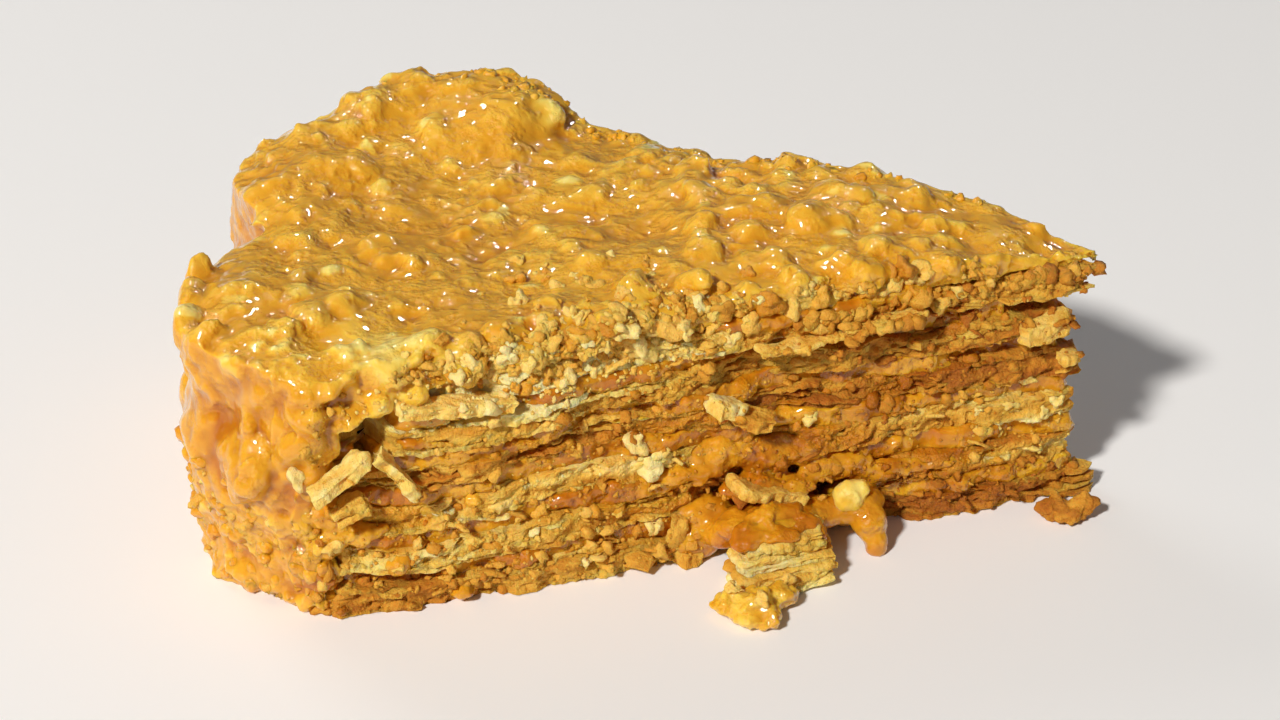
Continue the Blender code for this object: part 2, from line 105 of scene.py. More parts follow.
def grain(points, size, seed):
    """Smooth noise from -1 to 1, whose bumps are this size."""
    place = np.asarray(points) / size + 1000.0
    cell = np.floor(place).astype(np.int64)
    inside = place - cell
    ease = inside * inside * (3 - 2 * inside)
    total = np.zeros(len(place))
    for corner in np.ndindex(2, 2, 2):
        share = np.prod(np.where(corner, ease, 1 - ease), axis=1)
        total += share * scramble(cell + np.array(corner), seed)
    return total * 2 - 1


def rough(points, size, seed, steps=3, fade=0.55):
    """Grain upon finer grain."""
    return sum(grain(points, size / 2**step, seed + 17 * step) * fade**step for step in range(steps))


def tall(points, share):
    """The points with their heights multiplied, so that noise read at them is flatter or taller."""
    return points * np.array((1.0, 1.0, share))


print("noise ready:", np.round(grain(np.array([[0.1, 0.2, 0.3]]), 1.0, 1), 3))

# %% [markdown]
# ## Small helpers
#
# Each operator acts on what is selected, so a helper selects one object alone. Others read and write all the
# points of a mesh at once, store a value on each point for the materials to read, and apply a modifier.

# %% Helpers for meshes
def pick(*objects):
    """Selects these objects alone, and makes the first one active."""
    bpy.ops.object.select_all(action="DESELECT")
    for obj in objects:
        obj.select_set(True)
    bpy.context.view_layer.objects.active = objects[0]
    return objects[0]


def new_object(name, data):
    """An object in the scene that holds this data."""
    made = bpy.data.objects.new(name, data)
    bpy.context.scene.collection.objects.link(made)
    return made


def spots(obj, kind="co"):
    """The mesh's points, or their normals."""
    flat = np.empty(len(obj.data.vertices) * 3)
    obj.data.vertices.foreach_get(kind, flat)
    return flat.reshape(-1, 3)


def point_normals(obj):
    return spots(obj, "normal")


def move_to(obj, places):
    obj.data.vertices.foreach_set("co", np.asarray(places).ravel())
    obj.data.update()


def paint(obj, name, values):
    """Stores a value on every point, for a material to read."""
    found = obj.data.attributes.get(name) or obj.data.attributes.new(name, "FLOAT", "POINT")
    found.data.foreach_set("value", np.broadcast_to(values, len(obj.data.vertices)).astype(np.float32))


def apply(obj, kind, **settings):
    """Adds a modifier to the object and applies it."""
    pick(obj)
    modifier = obj.modifiers.new(kind.lower(), kind)
    for name, value in settings.items():
        setattr(modifier, name, value)
    bpy.ops.object.modifier_apply(modifier=modifier.name)


def join(objects, name):
    """Joins the objects into one with this name."""
    pick(*objects)
    if len(objects) > 1:
        bpy.ops.object.join()
    joined = bpy.context.object
    joined.name = joined.data.name = name
    return joined


def tidy_mesh(obj):
    """Merges points that lie together, and turns all faces outwards."""
    pick(obj)
    bpy.ops.object.mode_set(mode="EDIT")
    bpy.ops.mesh.select_all(action="SELECT")
    bpy.ops.mesh.remove_doubles(threshold=0.0000002)
    bpy.ops.mesh.normals_make_consistent(inside=False)
    bpy.ops.object.mode_set(mode="OBJECT")


def copy_of(node):
    """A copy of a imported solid, as an object of its own with its loose triangles merged."""
    copy = new_object(f"{node}_copy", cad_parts[node].data.copy())
    copy.data.materials.clear()
    tidy_mesh(copy)
    return copy


def finish(piece, material, slot, *nodes):
    """Gives a piece its material, lets it ride, and hides the solids it stands for. The slot is not used."""
    piece.data.materials.clear()
    piece.data.materials.append(material)
    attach(piece, "root")
    if nodes:
        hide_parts(*nodes)
    print(f"{piece.name}: {sum(len(face.vertices) - 2 for face in piece.data.polygons)} triangles")
    return piece


print("packed solids:", sorted(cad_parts))

# %% [markdown]
# ## Materials
#
# A material's numbers are written as plain sums. The class below wraps a socket, and Python's operators on it add
# Math nodes. One method adds any other node. The sheets, crumbs and flakes share a pastry material, which reads
# how pale and how soaked each point is. The cream and the coat share a caramel one, with crumbs under its gloss.

# %% Shader expressions
class Wire:
    """A socket of a material. Python's operators on it add Math nodes."""

    def __init__(self, tree, socket=None):
        self.tree, self.socket = tree, socket

    def node(self, kind, settings=None, inputs=None, output=0):
        """Adds a node, with its settings first, and then the values or links of its sockets."""
        made = self.tree.nodes.new(kind)
        for name, value in (settings or {}).items():
            if name == "stops":
                while len(made.color_ramp.elements) < len(value):
                    made.color_ramp.elements.new(0.5)
                for stop, (place, colour) in zip(made.color_ramp.elements, value):
                    stop.position, stop.color = place, colour
            else:
                setattr(made, name, value)
        for name, value in (inputs or {}).items():
            if isinstance(value, Wire):
                self.tree.links.new(value.socket, made.inputs[name])
            else:
                made.inputs[name].default_value = value
        return Wire(self.tree, made.outputs[output])

    def math(self, operation, *values):
        return self.node("ShaderNodeMath", {"operation": operation}, dict(enumerate(values)))

    __add__ = __radd__ = lambda self, other: self.math("ADD", self, other)
    __mul__ = __rmul__ = lambda self, other: self.math("MULTIPLY", self, other)
    __sub__ = lambda self, other: self.math("SUBTRACT", self, other)
    __rsub__ = lambda self, other: self.math("SUBTRACT", other, self)

    def between(self, low, high):
        """This value, stretched so that low becomes 0 and high becomes 1, and held there."""
        return self.node("ShaderNodeClamp", None, {"Value": (self - low) * (1.0 / (high - low))})

    def mix(self, colour, other):
        """From one colour to another as this value goes from 0 to 1."""
        return self.node("ShaderNodeMix", {"data_type": "RGBA"}, {0: self, 6: colour, 7: other}, output=2)

    def stored(self, name):
        """The value that is stored on each point under this name."""
        return self.node("ShaderNodeAttribute", {"attribute_name": name}, output=2)

    def noise(self, where, scale, detail=3.0, roughness=0.5):
        inputs = {"Vector": where, "Scale": scale, "Detail": detail, "Roughness": roughness}
        return self.node("ShaderNodeTexNoise", None, inputs)

    def ramp(self, *stops):
        """A colour for this value, from stops of a place and a screen colour."""
        stops = [(place, colour(*shares)) for place, *shares in stops]
        return self.node("ShaderNodeValToRGB", {"stops": stops}, {0: self})

    def bump(self, strength, distance):
        """The normal of a surface with this height."""
        inputs = {"Strength": strength, "Distance": distance, "Height": self}
        return self.node("ShaderNodeBump", None, inputs)


def colour(red, green, blue):
    """A colour given as on a screen, from 0 to 255, as the shader needs it."""
    parts = [value / 255 for value in (red, green, blue)]
    return (*[part / 12.92 if part <= 0.04045 else ((part + 0.055) / 1.055) ** 2.4 for part in parts], 1.0)


def new_material(name, **constants):
    """A material with a Principled shader, and a way into its nodes."""
    material = bpy.data.materials.new(name)
    material.use_nodes = True
    shader = material.node_tree.nodes["Principled BSDF"]
    for socket, value in constants.items():
        shader.inputs[socket.replace("_", " ")].default_value = value
    start = Wire(material.node_tree)
    where = start.node("ShaderNodeTexCoord", output=3)
    return material, shader, start, where


def connect(wire, socket):
    wire.tree.links.new(wire.socket, socket)


def for_crumbs(material, name):
    """A copy for small crumbs, which light goes less deep into."""
    copy = material.copy()
    copy.name = name
    copy.node_tree.nodes["Principled BSDF"].inputs["Subsurface Scale"].default_value = 0.0006
    return copy


# %% [markdown]
# ### Pastry
#
# Baked leaves are brown outside and pale inside, and caramel soaks into some of them. The tone of a point picks
# its colour from a ramp, fine noise breaks it up, and soaked places are darker, more orange and shinier.

# %% The pastry material
pastry, shader, start, where = new_material(
    "baked_pastry", Specular_IOR_Level=0.3,
    Subsurface_Weight=0.45, Subsurface_Scale=0.0020, Subsurface_Radius=(1.0, 0.55, 0.22),
)
speckle = start.noise(where, 1100.0, 4.0, 0.65)
patch = start.noise(where, 260.0)
shade = start.stored("tone") + (speckle - 0.5) * 0.42 + (patch - 0.5) * 0.40
dry = shade.ramp(
    (0.00, 168, 96, 20), (0.22, 198, 128, 32), (0.42, 216, 156, 50),
    (0.62, 236, 184, 76), (0.82, 246, 210, 114), (1.00, 251, 229, 158),
)
wet = shade.ramp((0.00, 164, 90, 8), (0.35, 200, 126, 20), (0.70, 224, 160, 44), (1.00, 238, 190, 82))
wetness = (start.stored("soaked") + (patch - 0.5) * 0.7).between(0.30, 0.70)
connect(wetness.mix(dry, wet), shader.inputs["Base Color"])
connect(0.78 - wetness * 0.46, shader.inputs["Roughness"])
dent = start.noise(where, 2200.0, 3.0, 0.6)
connect((dent * 0.8 + speckle * 0.7).bump(0.75, 0.0005), shader.inputs["Normal"])
pastry_crumb = for_crumbs(pastry, "pastry_crumb")
print("pastry material:", len(pastry.node_tree.nodes), "nodes")

# %% [markdown]
# ### Caramel cream
#
# The cream is a glossy toffee colour, a little see-through, with paler yellow where a crumb lies just under it.
# A fine uneven bump breaks its reflections into many small bright glints.

# %% The caramel material
caramel, shader, start, where = new_material(
    "caramel_cream", Subsurface_Weight=0.55, Subsurface_Scale=0.0022, Subsurface_Radius=(1.0, 0.62, 0.25),
    Specular_IOR_Level=0.12, Coat_Weight=1.0, Coat_Roughness=0.045,
)
soft = start.noise(where, 130.0)
fine = start.noise(where, 620.0, 3.0, 0.6)
shade = start.stored("tone") + (soft - 0.5) * 0.5 + (fine - 0.5) * 0.25
skin = shade.ramp(
    (0.00, 190, 112, 12), (0.30, 220, 152, 28), (0.55, 230, 168, 40), (0.80, 238, 192, 68), (1.00, 244, 216, 116),
)
connect(skin, shader.inputs["Base Color"])
connect(0.26 + fine * 0.16, shader.inputs["Roughness"])
ripple = start.noise(where, 330.0, 2.0)
grit = start.noise(where, 1000.0, 2.0)
gritty = (soft * 0.5 + ripple * 0.5).between(0.47, 0.57)
relief = ripple * 0.75 + fine * 0.20 + grit * gritty * 1.5
connect(relief.bump(0.6, 0.0006), shader.inputs["Normal"])
glaze_crumb = for_crumbs(caramel, "glazed_crumb")
print("caramel material:", len(caramel.node_tree.nodes), "nodes")

# %% [markdown]
# ## The outline of a layer
#
# Every layer has the same plan: along the shown cut to the tip, back along the other cut, and round the rim.
# The rim has a notch and worn corners. Stations along it are close together on the cuts, which show, and
# far apart at the rim, which the coat hides. Each station knows which way is out and how wide the slice is there.

# %% Stations round the slice
def rim_radius(angle):
    """The stack's radius at this angle from the slice's middle line."""
    front = np.clip(1.0 - (angle - FRONT_CUT) / math.radians(8.0), 0.0, 1.0) ** 1.5
    back = np.clip(1.0 - (BACK_CUT - angle) / math.radians(15.0), 0.0, 1.0) ** 1.5
    notch = hill(angle - math.radians(-1.5), math.radians(7.5))
    return RIM_RADIUS - 14.5 * MM * front - 27.0 * MM * back - 8.5 * MM * notch


def level(height_at_tip, x):
    """A flat interface's height: it sinks from the tip towards the rim."""
    return height_at_tip * (1.0 - (1.0 - RIM_SQUEEZE) * (APEX[0] - x) / RIM_RADIUS)


def on_front(reach, out, height):
    """The point at this reach along the shown cut, this far out of it, at this height."""
    plan = APEX + ALONG_FRONT * reach + OUT_OF_FRONT * out
    return np.array((plan[0], plan[1], height))


def front_reach(points):
    """How far along the shown cut each point lies, and how far out of it."""
    away = points[:, :2] - APEX
    return away @ ALONG_FRONT, away @ OUT_OF_FRONT


def ray(angle):
    return np.stack((-np.cos(angle), np.sin(angle)), axis=-1)


def stations(shortfall, pitch=0.45 * MM):
    """Points round a layer: the way out, the distance run, the reach on the shown cut, and the room inwards."""
    near_front, near_back = TIP_FRONT + shortfall, TIP_BACK + shortfall
    far_front, far_back = rim_radius(FRONT_CUT), rim_radius(BACK_CUT)
    front = np.linspace(far_front, near_front, round((far_front - near_front) / pitch))
    back = np.linspace(near_back, far_back, round((far_back - near_back) / (1.25 * pitch)))
    angles = np.linspace(BACK_CUT, FRONT_CUT, 44)[1:-1]
    tip = np.linspace(0.0, 1.0, round(14.0 * MM / pitch))[1:-1, None]
    corner_front, corner_back = APEX + ray(FRONT_CUT) * near_front, APEX + ray(BACK_CUT) * near_back
    path = np.concatenate((
        APEX + ray(FRONT_CUT) * front[:, None],
        corner_front + (corner_back - corner_front) * tip,
        APEX + ray(BACK_CUT) * back[:, None],
        APEX + ray(angles) * rim_radius(angles)[:, None],
    ))
    ahead = np.roll(path, -3, axis=0) - np.roll(path, 3, axis=0)
    ahead /= np.linalg.norm(ahead, axis=1)[:, None]
    steps = np.linalg.norm(path - np.roll(path, 1, axis=0), axis=1)
    away = np.linalg.norm(path - APEX, axis=1)
    shown = np.zeros(len(path))
    shown[:len(front)] = front
    at_rim = np.zeros(len(path))
    at_rim[-len(angles):] = 1.0
    return {
        "plan": path, "out": np.stack((ahead[:, 1], -ahead[:, 0]), axis=1), "run": np.cumsum(steps),
        "reach": shown, "rim": at_rim, "room": np.minimum(1.0, 0.30 * away / BAND_DEPTH),
    }


ring = stations(0.0)
print(len(ring["plan"]), "stations round a layer,", round(ring["run"][-1] / MM), "mm in all")

# %% [markdown]
# Some layers stop short of the tip, and parts of the shown cut are missing: the lowest sheets are broken away in
# the middle, and there is a dark hole under the coat near the rim.

# %% What is missing from the cuts
TIP_SHORTFALL = {
    "pastry_sheet_1": 1.2, "cream_filling_1": 4.0, "pastry_sheet_2": 3.6, "cream_filling_2": 4.5,
    "pastry_sheet_3": 4.8, "cream_filling_3": 5.5, "pastry_sheet_4": 3.7, "cream_filling_4": 6.0,
    "pastry_sheet_5": 5.6, "cream_filling_5": 15.0, "pastry_sheet_6": 2.5,
}
DENTS = (
    ("pastry_sheet_1", 53.5, 21.5, 9), ("cream_filling_1", 53.5, 21.5, 9),
    ("pastry_sheet_2", 53.5, 21.5, 9), ("cream_filling_2", 53.5, 21.5, 2),
    ("pastry_sheet_5", 121.5, 6.5, 13), ("cream_filling_5", 121, 7, 13),
    ("cream_filling_4", 121, 5.5, 9), ("pastry_sheet_4", 80, 30, 1.2),
    ("cream_filling_5", 60, 18, 3.5), ("pastry_sheet_5", 64, 12, 2.2), ("pastry_sheet_6", 134, 36, 6),
)


def front_offset(node, reach, height):
    """How far a layer's shown cut lies out: its foot spreads, and it lies back where it is dented."""
    low = 1.0 - smooth(height / (20.0 * MM))
    tip = 1.0 - smooth(reach / (45.0 * MM))
    at_rim = smooth((rim_radius(FRONT_CUT) - reach) / (8.0 * MM))
    spread = (1.5 * MM * low + 1.4 * MM * tip * (0.4 + 0.6 * low)) * at_rim
    missing = sum(
        depth * MM * hill(reach - middle * MM, width * MM)
        for name, middle, width, depth in DENTS if name == node
    )
    return np.where(reach > 0.0, spread - missing, 0.0)


def bulges(points):
    """Broad hollows and swellings of the cut faces, which run across the layers."""
    return 1.5 * MM * rough(tall(points, 1.25), 11 * MM, 99, 2)


def sway(plan, height):
    """The layers' gentle waves, alike for neighbours, and none at the table or under the coat."""
    flat = np.column_stack((plan, np.zeros(len(plan))))
    share = np.clip(height / (38.0 * MM), 0.0, 1.0)
    return 1.5 * MM * 4 * share * (1 - share) * rough(flat, 21 * MM, 5, 2)


print(len(DENTS), "dents in the shown cut")

# %% [markdown]
# ## Tone and soaking
#
# The photo's cut face isn't one colour: pale flakes near the top on the left, a brown stretch in the middle,
# a yellow one low at the tip, and glossy caramel in bands. Each spot below changes the tone or soaks the pastry
# round one place, given by reach and height, half a length and half a height, and how much. One broad darker
# spot over the half nearer the tip is partly a browner bake and partly painted shade.

# %% How pale and how soaked the pastry is
TONE_SPOTS = (
    (105, 33, 20, 5, 0.42), (88, 38, 28, 4.5, 0.26), (14, 14, 10, 2.2, 0.40), (66, 26, 16, 7, -0.16),
    (28, 16, 22, 6, 0.24), (30, 34, 22, 5, -0.06),
    (98, 21, 26, 3, -0.14), (80, 18, 18, 2, 0.30), (112, 8, 20, 5, 0.06),
    (90, 11, 14, 2, 0.16), (120, 3, 14, 3, -0.18), (28, 3, 22, 3.4, -0.30), (30, 26, 16, 2.2, -0.04),
    # Painted shade: the last spot here, broad and darker over the half of the cut nearer the tip, is partly a browner
    # bake and partly painted shade.
    (100, 29, 16, 1.4, -0.14), (18, 9.6, 14, 1.8, 0.42), (22, 20, 12, 2, 0.20), (26, 22, 36, 24, -0.32),
    (60, 8, 30, 8, -0.08),
)
SOAKED_SPOTS = (
    (80, 13, 16, 4, 0.5), (60, 16, 16, 5, 0.6), (34, 10, 14, 3.5, 0.4), (98, 25, 10, 2.5, 0.5),
    (122, 14, 14, 5, 0.5), (70, 23, 20, 3, 0.25), (45, 25, 14, 4, 0.2), (60, 39, 24, 3, 0.3),
)


def spot_sum(points, spots_to_add):
    reach, out = front_reach(points)
    near_face = smooth((out + 12 * MM) / (6 * MM))
    total = np.zeros(len(points))
    for along, up, half_along, half_up, amount in spots_to_add:
        away = np.hypot((reach - along * MM) / (half_along * MM), (points[:, 2] - up * MM) / (half_up * MM))
        total += amount * smooth(1.35 - away)
    return total * near_face


def paint_pastry(piece, base, seed):
    """Stores the tone and soaking of a pastry piece's points."""
    points = spots(piece)
    flat = tall(points, 2.4)
    tone = base + 0.22 * rough(flat, 10 * MM, seed, 2) + 0.16 * rough(flat, 2.6 * MM, seed + 1, 2)
    paint(piece, "tone", np.clip(tone + spot_sum(points, TONE_SPOTS), 0.0, 1.0))
    soaking = 0.30 + 0.30 * rough(flat, 8 * MM, seed + 2, 2)
    paint(piece, "soaked", np.clip(soaking + spot_sum(points, SOAKED_SPOTS), 0.0, 1.0))


print(len(TONE_SPOTS), "tone spots and", len(SOAKED_SPOTS), "soaked spots")

# %% [markdown]
# ## Bands round the slice
#
# Only the outer 8 mm of a layer can ever be seen, so a layer is a closed band round the slice. It starts as a
# grid, whose points are moved so that its rows run round the slice and close up on themselves.

# %% A closed band
def closed_band(name, rows):
    """A ring-shaped piece from rows of points, shaped (rows, stations, 3)."""
    count, around = rows.shape[:2]
    bpy.ops.mesh.primitive_grid_add(x_subdivisions=around, y_subdivisions=count, size=2.0)
    band = bpy.context.object
    band.name = name
    flat = spots(band)
    across = np.rint((flat[:, 0] + 1) / 2 * around).astype(int) % around
    up = np.rint((flat[:, 1] + 1) / 2 * count).astype(int) % count
    move_to(band, rows[up, across])
    tidy_mesh(band)
    return band


def above_table(rows, least):
    """The rows of points, none lower than this."""
    rows[..., 2] = np.maximum(rows[..., 2], least)
    return rows


def row_heights(ring, low, high, gap, rises):
    """Each row's height between a layer's two faces, which a gap draws in, with the layers' waves."""
    x = ring["plan"][:, 0]
    bottom, top = level(low, x) + gap * (low > 0), level(high, x) - gap
    heights = bottom[None] + (top - bottom)[None] * rises[:, None]
    return heights + sway(ring["plan"], heights.mean(axis=0))[None] * (1 if low > 0 else rises[:, None])


def rows_of(ring, offsets, heights):
    """Rows of points from each row's distance out of the outline and height, shaped (rows, stations)."""
    inward = np.where(offsets < 0.0, offsets * ring["room"], offsets)
    plan = ring["plan"][None] + ring["out"][None] * inward[..., None]
    return np.concatenate((plan, heights[..., None]), axis=2)


def shaken(rows, amount, size, seed, steps=2):
    """The rows with each point moved about by grain, more sideways than up."""
    flat = rows.reshape(-1, 3)
    shift = np.stack([rough(flat, size, seed + 7 * axis, steps) for axis in range(3)], axis=1)
    return (flat + tall(shift * amount, 0.7)).reshape(rows.shape)


# %% [markdown]
# ## Pastry sheets
#
# A sheet is a crumbly body with a few thin leaves in it that stick out by different amounts, so that their
# ragged edges make ledges and crevices. The body's side is pitted, and each leaf is wavy, thin at its edge,
# and broken back here and there.

# %% Body and leaves of a sheet
def along(ring, size, seed, steps=2):
    """Grain along the outline, alike at all heights."""
    line = np.column_stack((ring["run"], np.zeros(len(ring["run"])), np.zeros(len(ring["run"]))))
    return rough(line, size, seed, steps)


def sheet_body(node, ring, low, high, seed):
    """The crumbly body: its side in rows under half a millimetre apart, and its top and bottom turned inwards."""
    side = 11
    rises = np.concatenate(([0.0, 0.02], np.linspace(0.04, 0.96, side), [0.98, 1.0]))
    depths = np.concatenate(([BAND_DEPTH, 0.9 * MM], np.zeros(side), [0.9 * MM, BAND_DEPTH]))
    heights = row_heights(ring, low, high, 0.15 * MM, rises)
    offset = front_offset(node, ring["reach"], heights.mean(axis=0)) + 0.7 * MM * along(ring, 13 * MM, seed)
    offset = offset * (1 - 0.8 * ring["rim"]) + 0.05 * MM - 1.4 * MM * ring["rim"]
    points = rows_of(ring, np.zeros(heights.shape), heights).reshape(-1, 3)
    flat = tall(points, 1.7)
    pits = 0.80 * MM * rough(flat, 3.0 * MM, seed + 3, 3)
    pits += bulges(points) - 1.2 * MM * smooth((grain(flat, 2.4 * MM, seed + 9) - 0.3) / 0.5)
    on_side = (depths == 0.0)[:, None]
    offsets = offset[None] - depths[:, None] + pits.reshape(heights.shape) * on_side
    rows = shaken(rows_of(ring, offsets, heights), 0.22 * MM, 0.9 * MM, seed + 5)
    return closed_band(f"{node}_body", above_table(rows, 0.02 * MM))


def leaf(node, ring, middle, thickness, reach_out, seed):
    """One thin wavy leaf with a ragged edge."""
    depths = np.array((8.0, 4.0, 2.2, 1.2, 0.6, 0.25, 0.0, 0.0, 0.25, 0.6, 1.2, 2.2, 4.0, 8.0)) * MM
    sides = np.concatenate((np.ones(7), -np.ones(7)))
    thin = 0.6 + 0.4 * smooth(depths / (1.6 * MM))
    base = level(middle, ring["plan"][:, 0])
    ragged = 0.6 * MM * along(ring, 9 * MM, seed) + 0.34 * MM * along(ring, 2.6 * MM, seed + 1)
    ragged += 0.34 * MM * along(ring, 0.9 * MM, seed + 2) + bulges(np.column_stack((ring["plan"], base)))
    broken = 2.2 * MM * smooth((along(ring, 8 * MM, seed + 3, 1) - 0.12) / 0.16)
    offset = front_offset(node, ring["reach"], base) + (ragged + reach_out - broken) * (1 - 0.85 * ring["rim"])
    offset -= 1.2 * MM * ring["rim"]
    wave = sway(ring["plan"], base) + 0.5 * MM * along(ring, 7 * MM, seed + 4)
    wave += 0.16 * MM * along(ring, 1.6 * MM, seed + 5)
    thickness = thickness * (1.0 + 0.5 * along(ring, 3.5 * MM, seed + 8))
    heights = (base + wave)[None] + (sides * thin)[:, None] * thickness[None] / 2
    rows = shaken(rows_of(ring, offset[None] - depths[:, None], heights), 0.22 * MM, 0.9 * MM, seed + 6)
    return closed_band(f"{node}_leaf", above_table(rows, 0.02 * MM))


# %% Dressing the six sheets
SHEET_TONES = (0.44, 0.56, 0.60, 0.48, 0.56, 0.58)
dice = np.random.default_rng(11)
for number, base_tone in enumerate(SHEET_TONES, start=1):
    node = f"pastry_sheet_{number}"
    low, high = layer_heights[node]
    ring = stations(TIP_SHORTFALL[node] * MM)
    body = sheet_body(node, ring, low, high, 100 * number)
    paint_pastry(body, base_tone - 0.02, 100 * number)
    parts = [body]
    for share in (0.12, 0.37, 0.63, 0.88):
        middle = low + (high - low) * (share + dice.uniform(-0.04, 0.04))
        thickness, reach_out = dice.uniform(0.7, 1.3) * MM, dice.uniform(-0.5, 0.5) * MM
        part = leaf(node, ring, middle, thickness, reach_out, dice.integers(9999))
        paint_pastry(part, base_tone + dice.uniform(-0.08, 0.28), dice.integers(9999))
        parts.append(part)
    if number == 1:
        core = copy_of(node)
        places = spots(core)
        centre = places.mean(axis=0)
        places[:, :2] = centre[:2] + (places[:, :2] - centre[:2]) * 0.93
        move_to(core, places)
        paint_pastry(core, 0.35, 7)
        parts.append(core)
    finish(join(parts, f"{node}_flaky"), pastry, "pastry", node)

# %% [markdown]
# ## Cream between the sheets
#
# The cream shows as a soft bulging band, pushed out in places and drawn back in others. Its section is half a
# round, and slow noise along the cut decides how far it comes out.

# %% Cream fillings
def cream_band(node, ring, low, high, seed):
    turns = np.radians(np.linspace(-90, 90, 9))
    depths = np.concatenate(([BAND_DEPTH], np.zeros(9), [BAND_DEPTH]))
    heights = row_heights(ring, low, high, -0.5 * MM, np.concatenate(([0.0], (1 + np.sin(turns)) / 2, [1.0])))
    bulge = (1.4 * along(ring, 10 * MM, seed) + 0.6 * along(ring, 3.5 * MM, seed + 1)) * MM
    offset = front_offset(node, ring["reach"], heights.mean(axis=0)) - 0.8 * MM - 1.3 * MM * ring["rim"]
    offset = offset + bulges(np.column_stack((ring["plan"], heights.mean(axis=0)))) * (1 - ring["rim"])
    rounding = np.concatenate(([0.0], np.cos(turns), [0.0]))
    offsets = offset[None] + np.where(ring["rim"], 0.0, bulge)[None] * rounding[:, None] - depths[:, None]
    rows = shaken(rows_of(ring, offsets, heights), 0.55 * MM, 2.0 * MM, seed + 2, 3)
    return closed_band(f"{node}_band", rows)


for number in range(1, len(FILLINGS) + 1):
    node = f"cream_filling_{number}"
    low, high = layer_heights[node]
    band = cream_band(node, stations(TIP_SHORTFALL[node] * MM), low, high, 700 + 50 * number)
    paint(band, "tone", 0.18 + 0.3 * rough(spots(band), 6 * MM, 61 + number, 2))
    band.name = band.data.name = f"{node}_smooth"
    bpy.ops.object.shade_smooth()
    finish(band, caramel, "cream", node)

# %% [markdown]
# ## The caramel coat
#
# The coat is a glaze poured over crumbs. So round crumbs are strewn over a copy of its solid, half sunk, and a
# voxel remesh melts them and the solid into one skin. Smoothing then lets the glaze fill the gaps between them.

# %% Copies of a shape
def triangles(obj):
    obj.data.calc_loop_triangles()
    flat = np.empty(len(obj.data.loop_triangles) * 3, dtype=np.int64)
    obj.data.loop_triangles.foreach_get("vertices", flat)
    return flat.reshape(-1, 3)


def strewn(name, shapes, places, turns):
    """One mesh of many copies of a few shapes. Each turn is a matrix that also sizes its copy."""
    corners, faces, count = [], [], 0
    for number, (place, turn) in enumerate(zip(places, turns)):
        shape, links = shapes[number % len(shapes)]
        corners.append(shape @ turn.T + place)
        faces.append(links + count)
        count += len(shape)
    mesh = bpy.data.meshes.new(name)
    mesh.from_pydata(np.concatenate(corners).tolist(), [], np.concatenate(faces).tolist())
    return new_object(name, mesh)


def nubble(seed, fineness, uneven, squash=(1.0, 0.85, 0.75)):
    """An uneven ball, one unit across, as points and triangles."""
    bpy.ops.mesh.primitive_ico_sphere_add(subdivisions=fineness, radius=0.5)
    ball = bpy.context.object
    places, links = spots(ball), triangles(ball)
    places = places * (1.0 + uneven * rough(places, 0.45, seed, 2))[:, None] * np.array(squash)
    bpy.data.objects.remove(ball)
    return places, links


def facing(way, spin):
    """A matrix whose upright axis points this way, spun about it."""
    up = way / np.linalg.norm(way)
    side = np.cross(up, (0.0, 0.0, 1.0) if abs(up[2]) < 0.9 else (1.0, 0.0, 0.0))
    side /= np.linalg.norm(side)
    other = np.cross(up, side)
    cosine, sine = math.cos(spin), math.sin(spin)
    return np.column_stack((side * cosine + other * sine, other * cosine - side * sine, up))


# %% Where the coat lies
def plan_polar(points):
    """Each point's angle and distance from the apex, and how far from it the stack's rim is there."""
    away = points[:, :2] - APEX
    angle = np.arctan2(away[:, 1], -away[:, 0])
    return angle, np.hypot(away[:, 0], away[:, 1]), rim_radius(np.clip(angle, FRONT_CUT, BACK_CUT)) + 1.2 * MM


def coat_outside(points, ways):
    """1 where a place on the coat's solid is on its top, its rim or its front lip."""
    angle, radius, inside = plan_polar(points)
    on_top = (ways[:, 2] > 0.4) & (points[:, 2] > level(STACK_HEIGHT, points[:, 0]) + 0.6 * MM)
    on_lip = (ways[:, :2] @ OUT_OF_FRONT > 0.5) & (points[:, 2] > 33 * MM)
    return (on_top | (radius > inside) | on_lip) * (points[:, 2] > 2.0 * MM)


YELLOW_PATCH = (-34.4, -37.2)


def yellow_patch(points):
    """1 in the middle of the smooth yellow patch near the front corner, and 0 beyond it."""
    middle = np.array(YELLOW_PATCH) * MM
    return hill(points[:, 0] - middle[0], 14 * MM) * hill(points[:, 1] - middle[1], 10 * MM)


coat = copy_of("caramel_coat")
print("the coat's solid has", len(coat.data.polygons), "faces")

# %% [markdown]
# The crumbs lie closer together in some places and low on the rim, and none lie in the smooth yellow patch or at
# the very tip. Small ones are many and large ones few, and large ones at the edges sink deeper.

# %% Crumbs under the glaze
LUMPS, PATCH_LUMP, LARGE_LUMP = 1500, 2.8 * MM, 4 * MM
WHOLE_TURN = 6.28
luck = np.random.default_rng(31)
corners = spots(coat)[triangles(coat)]
across = np.cross(corners[:, 1] - corners[:, 0], corners[:, 2] - corners[:, 0])
area = np.linalg.norm(across, axis=1)
ways, middles = across / area[:, None], corners.mean(axis=1)
crowd = np.clip(0.45 + 1.3 * grain(middles, 13 * MM, 14), 0.06, 2.0) * (1 + (middles[:, 2] > 43.5 * MM))
low_rim = 1.0 + 3.0 * (1.0 - smooth((middles[:, 2] - 12 * MM) / (12 * MM)))
away_from_tip = smooth((APEX[0] - middles[:, 0] - 8 * MM) / (8 * MM))
in_patch = yellow_patch(middles)
weight = area * coat_outside(middles, ways) * crowd * low_rim * away_from_tip * (1 - in_patch)
chosen = luck.choice(len(area), LUMPS, p=weight / weight.sum())
shares = luck.dirichlet((1, 1, 1), len(chosen))
lump_places = (corners[chosen] * shares[:, :, None]).sum(axis=1)
lump_sizes = (1.9 + 6.6 * luck.random(len(chosen)) ** 2.6) * MM
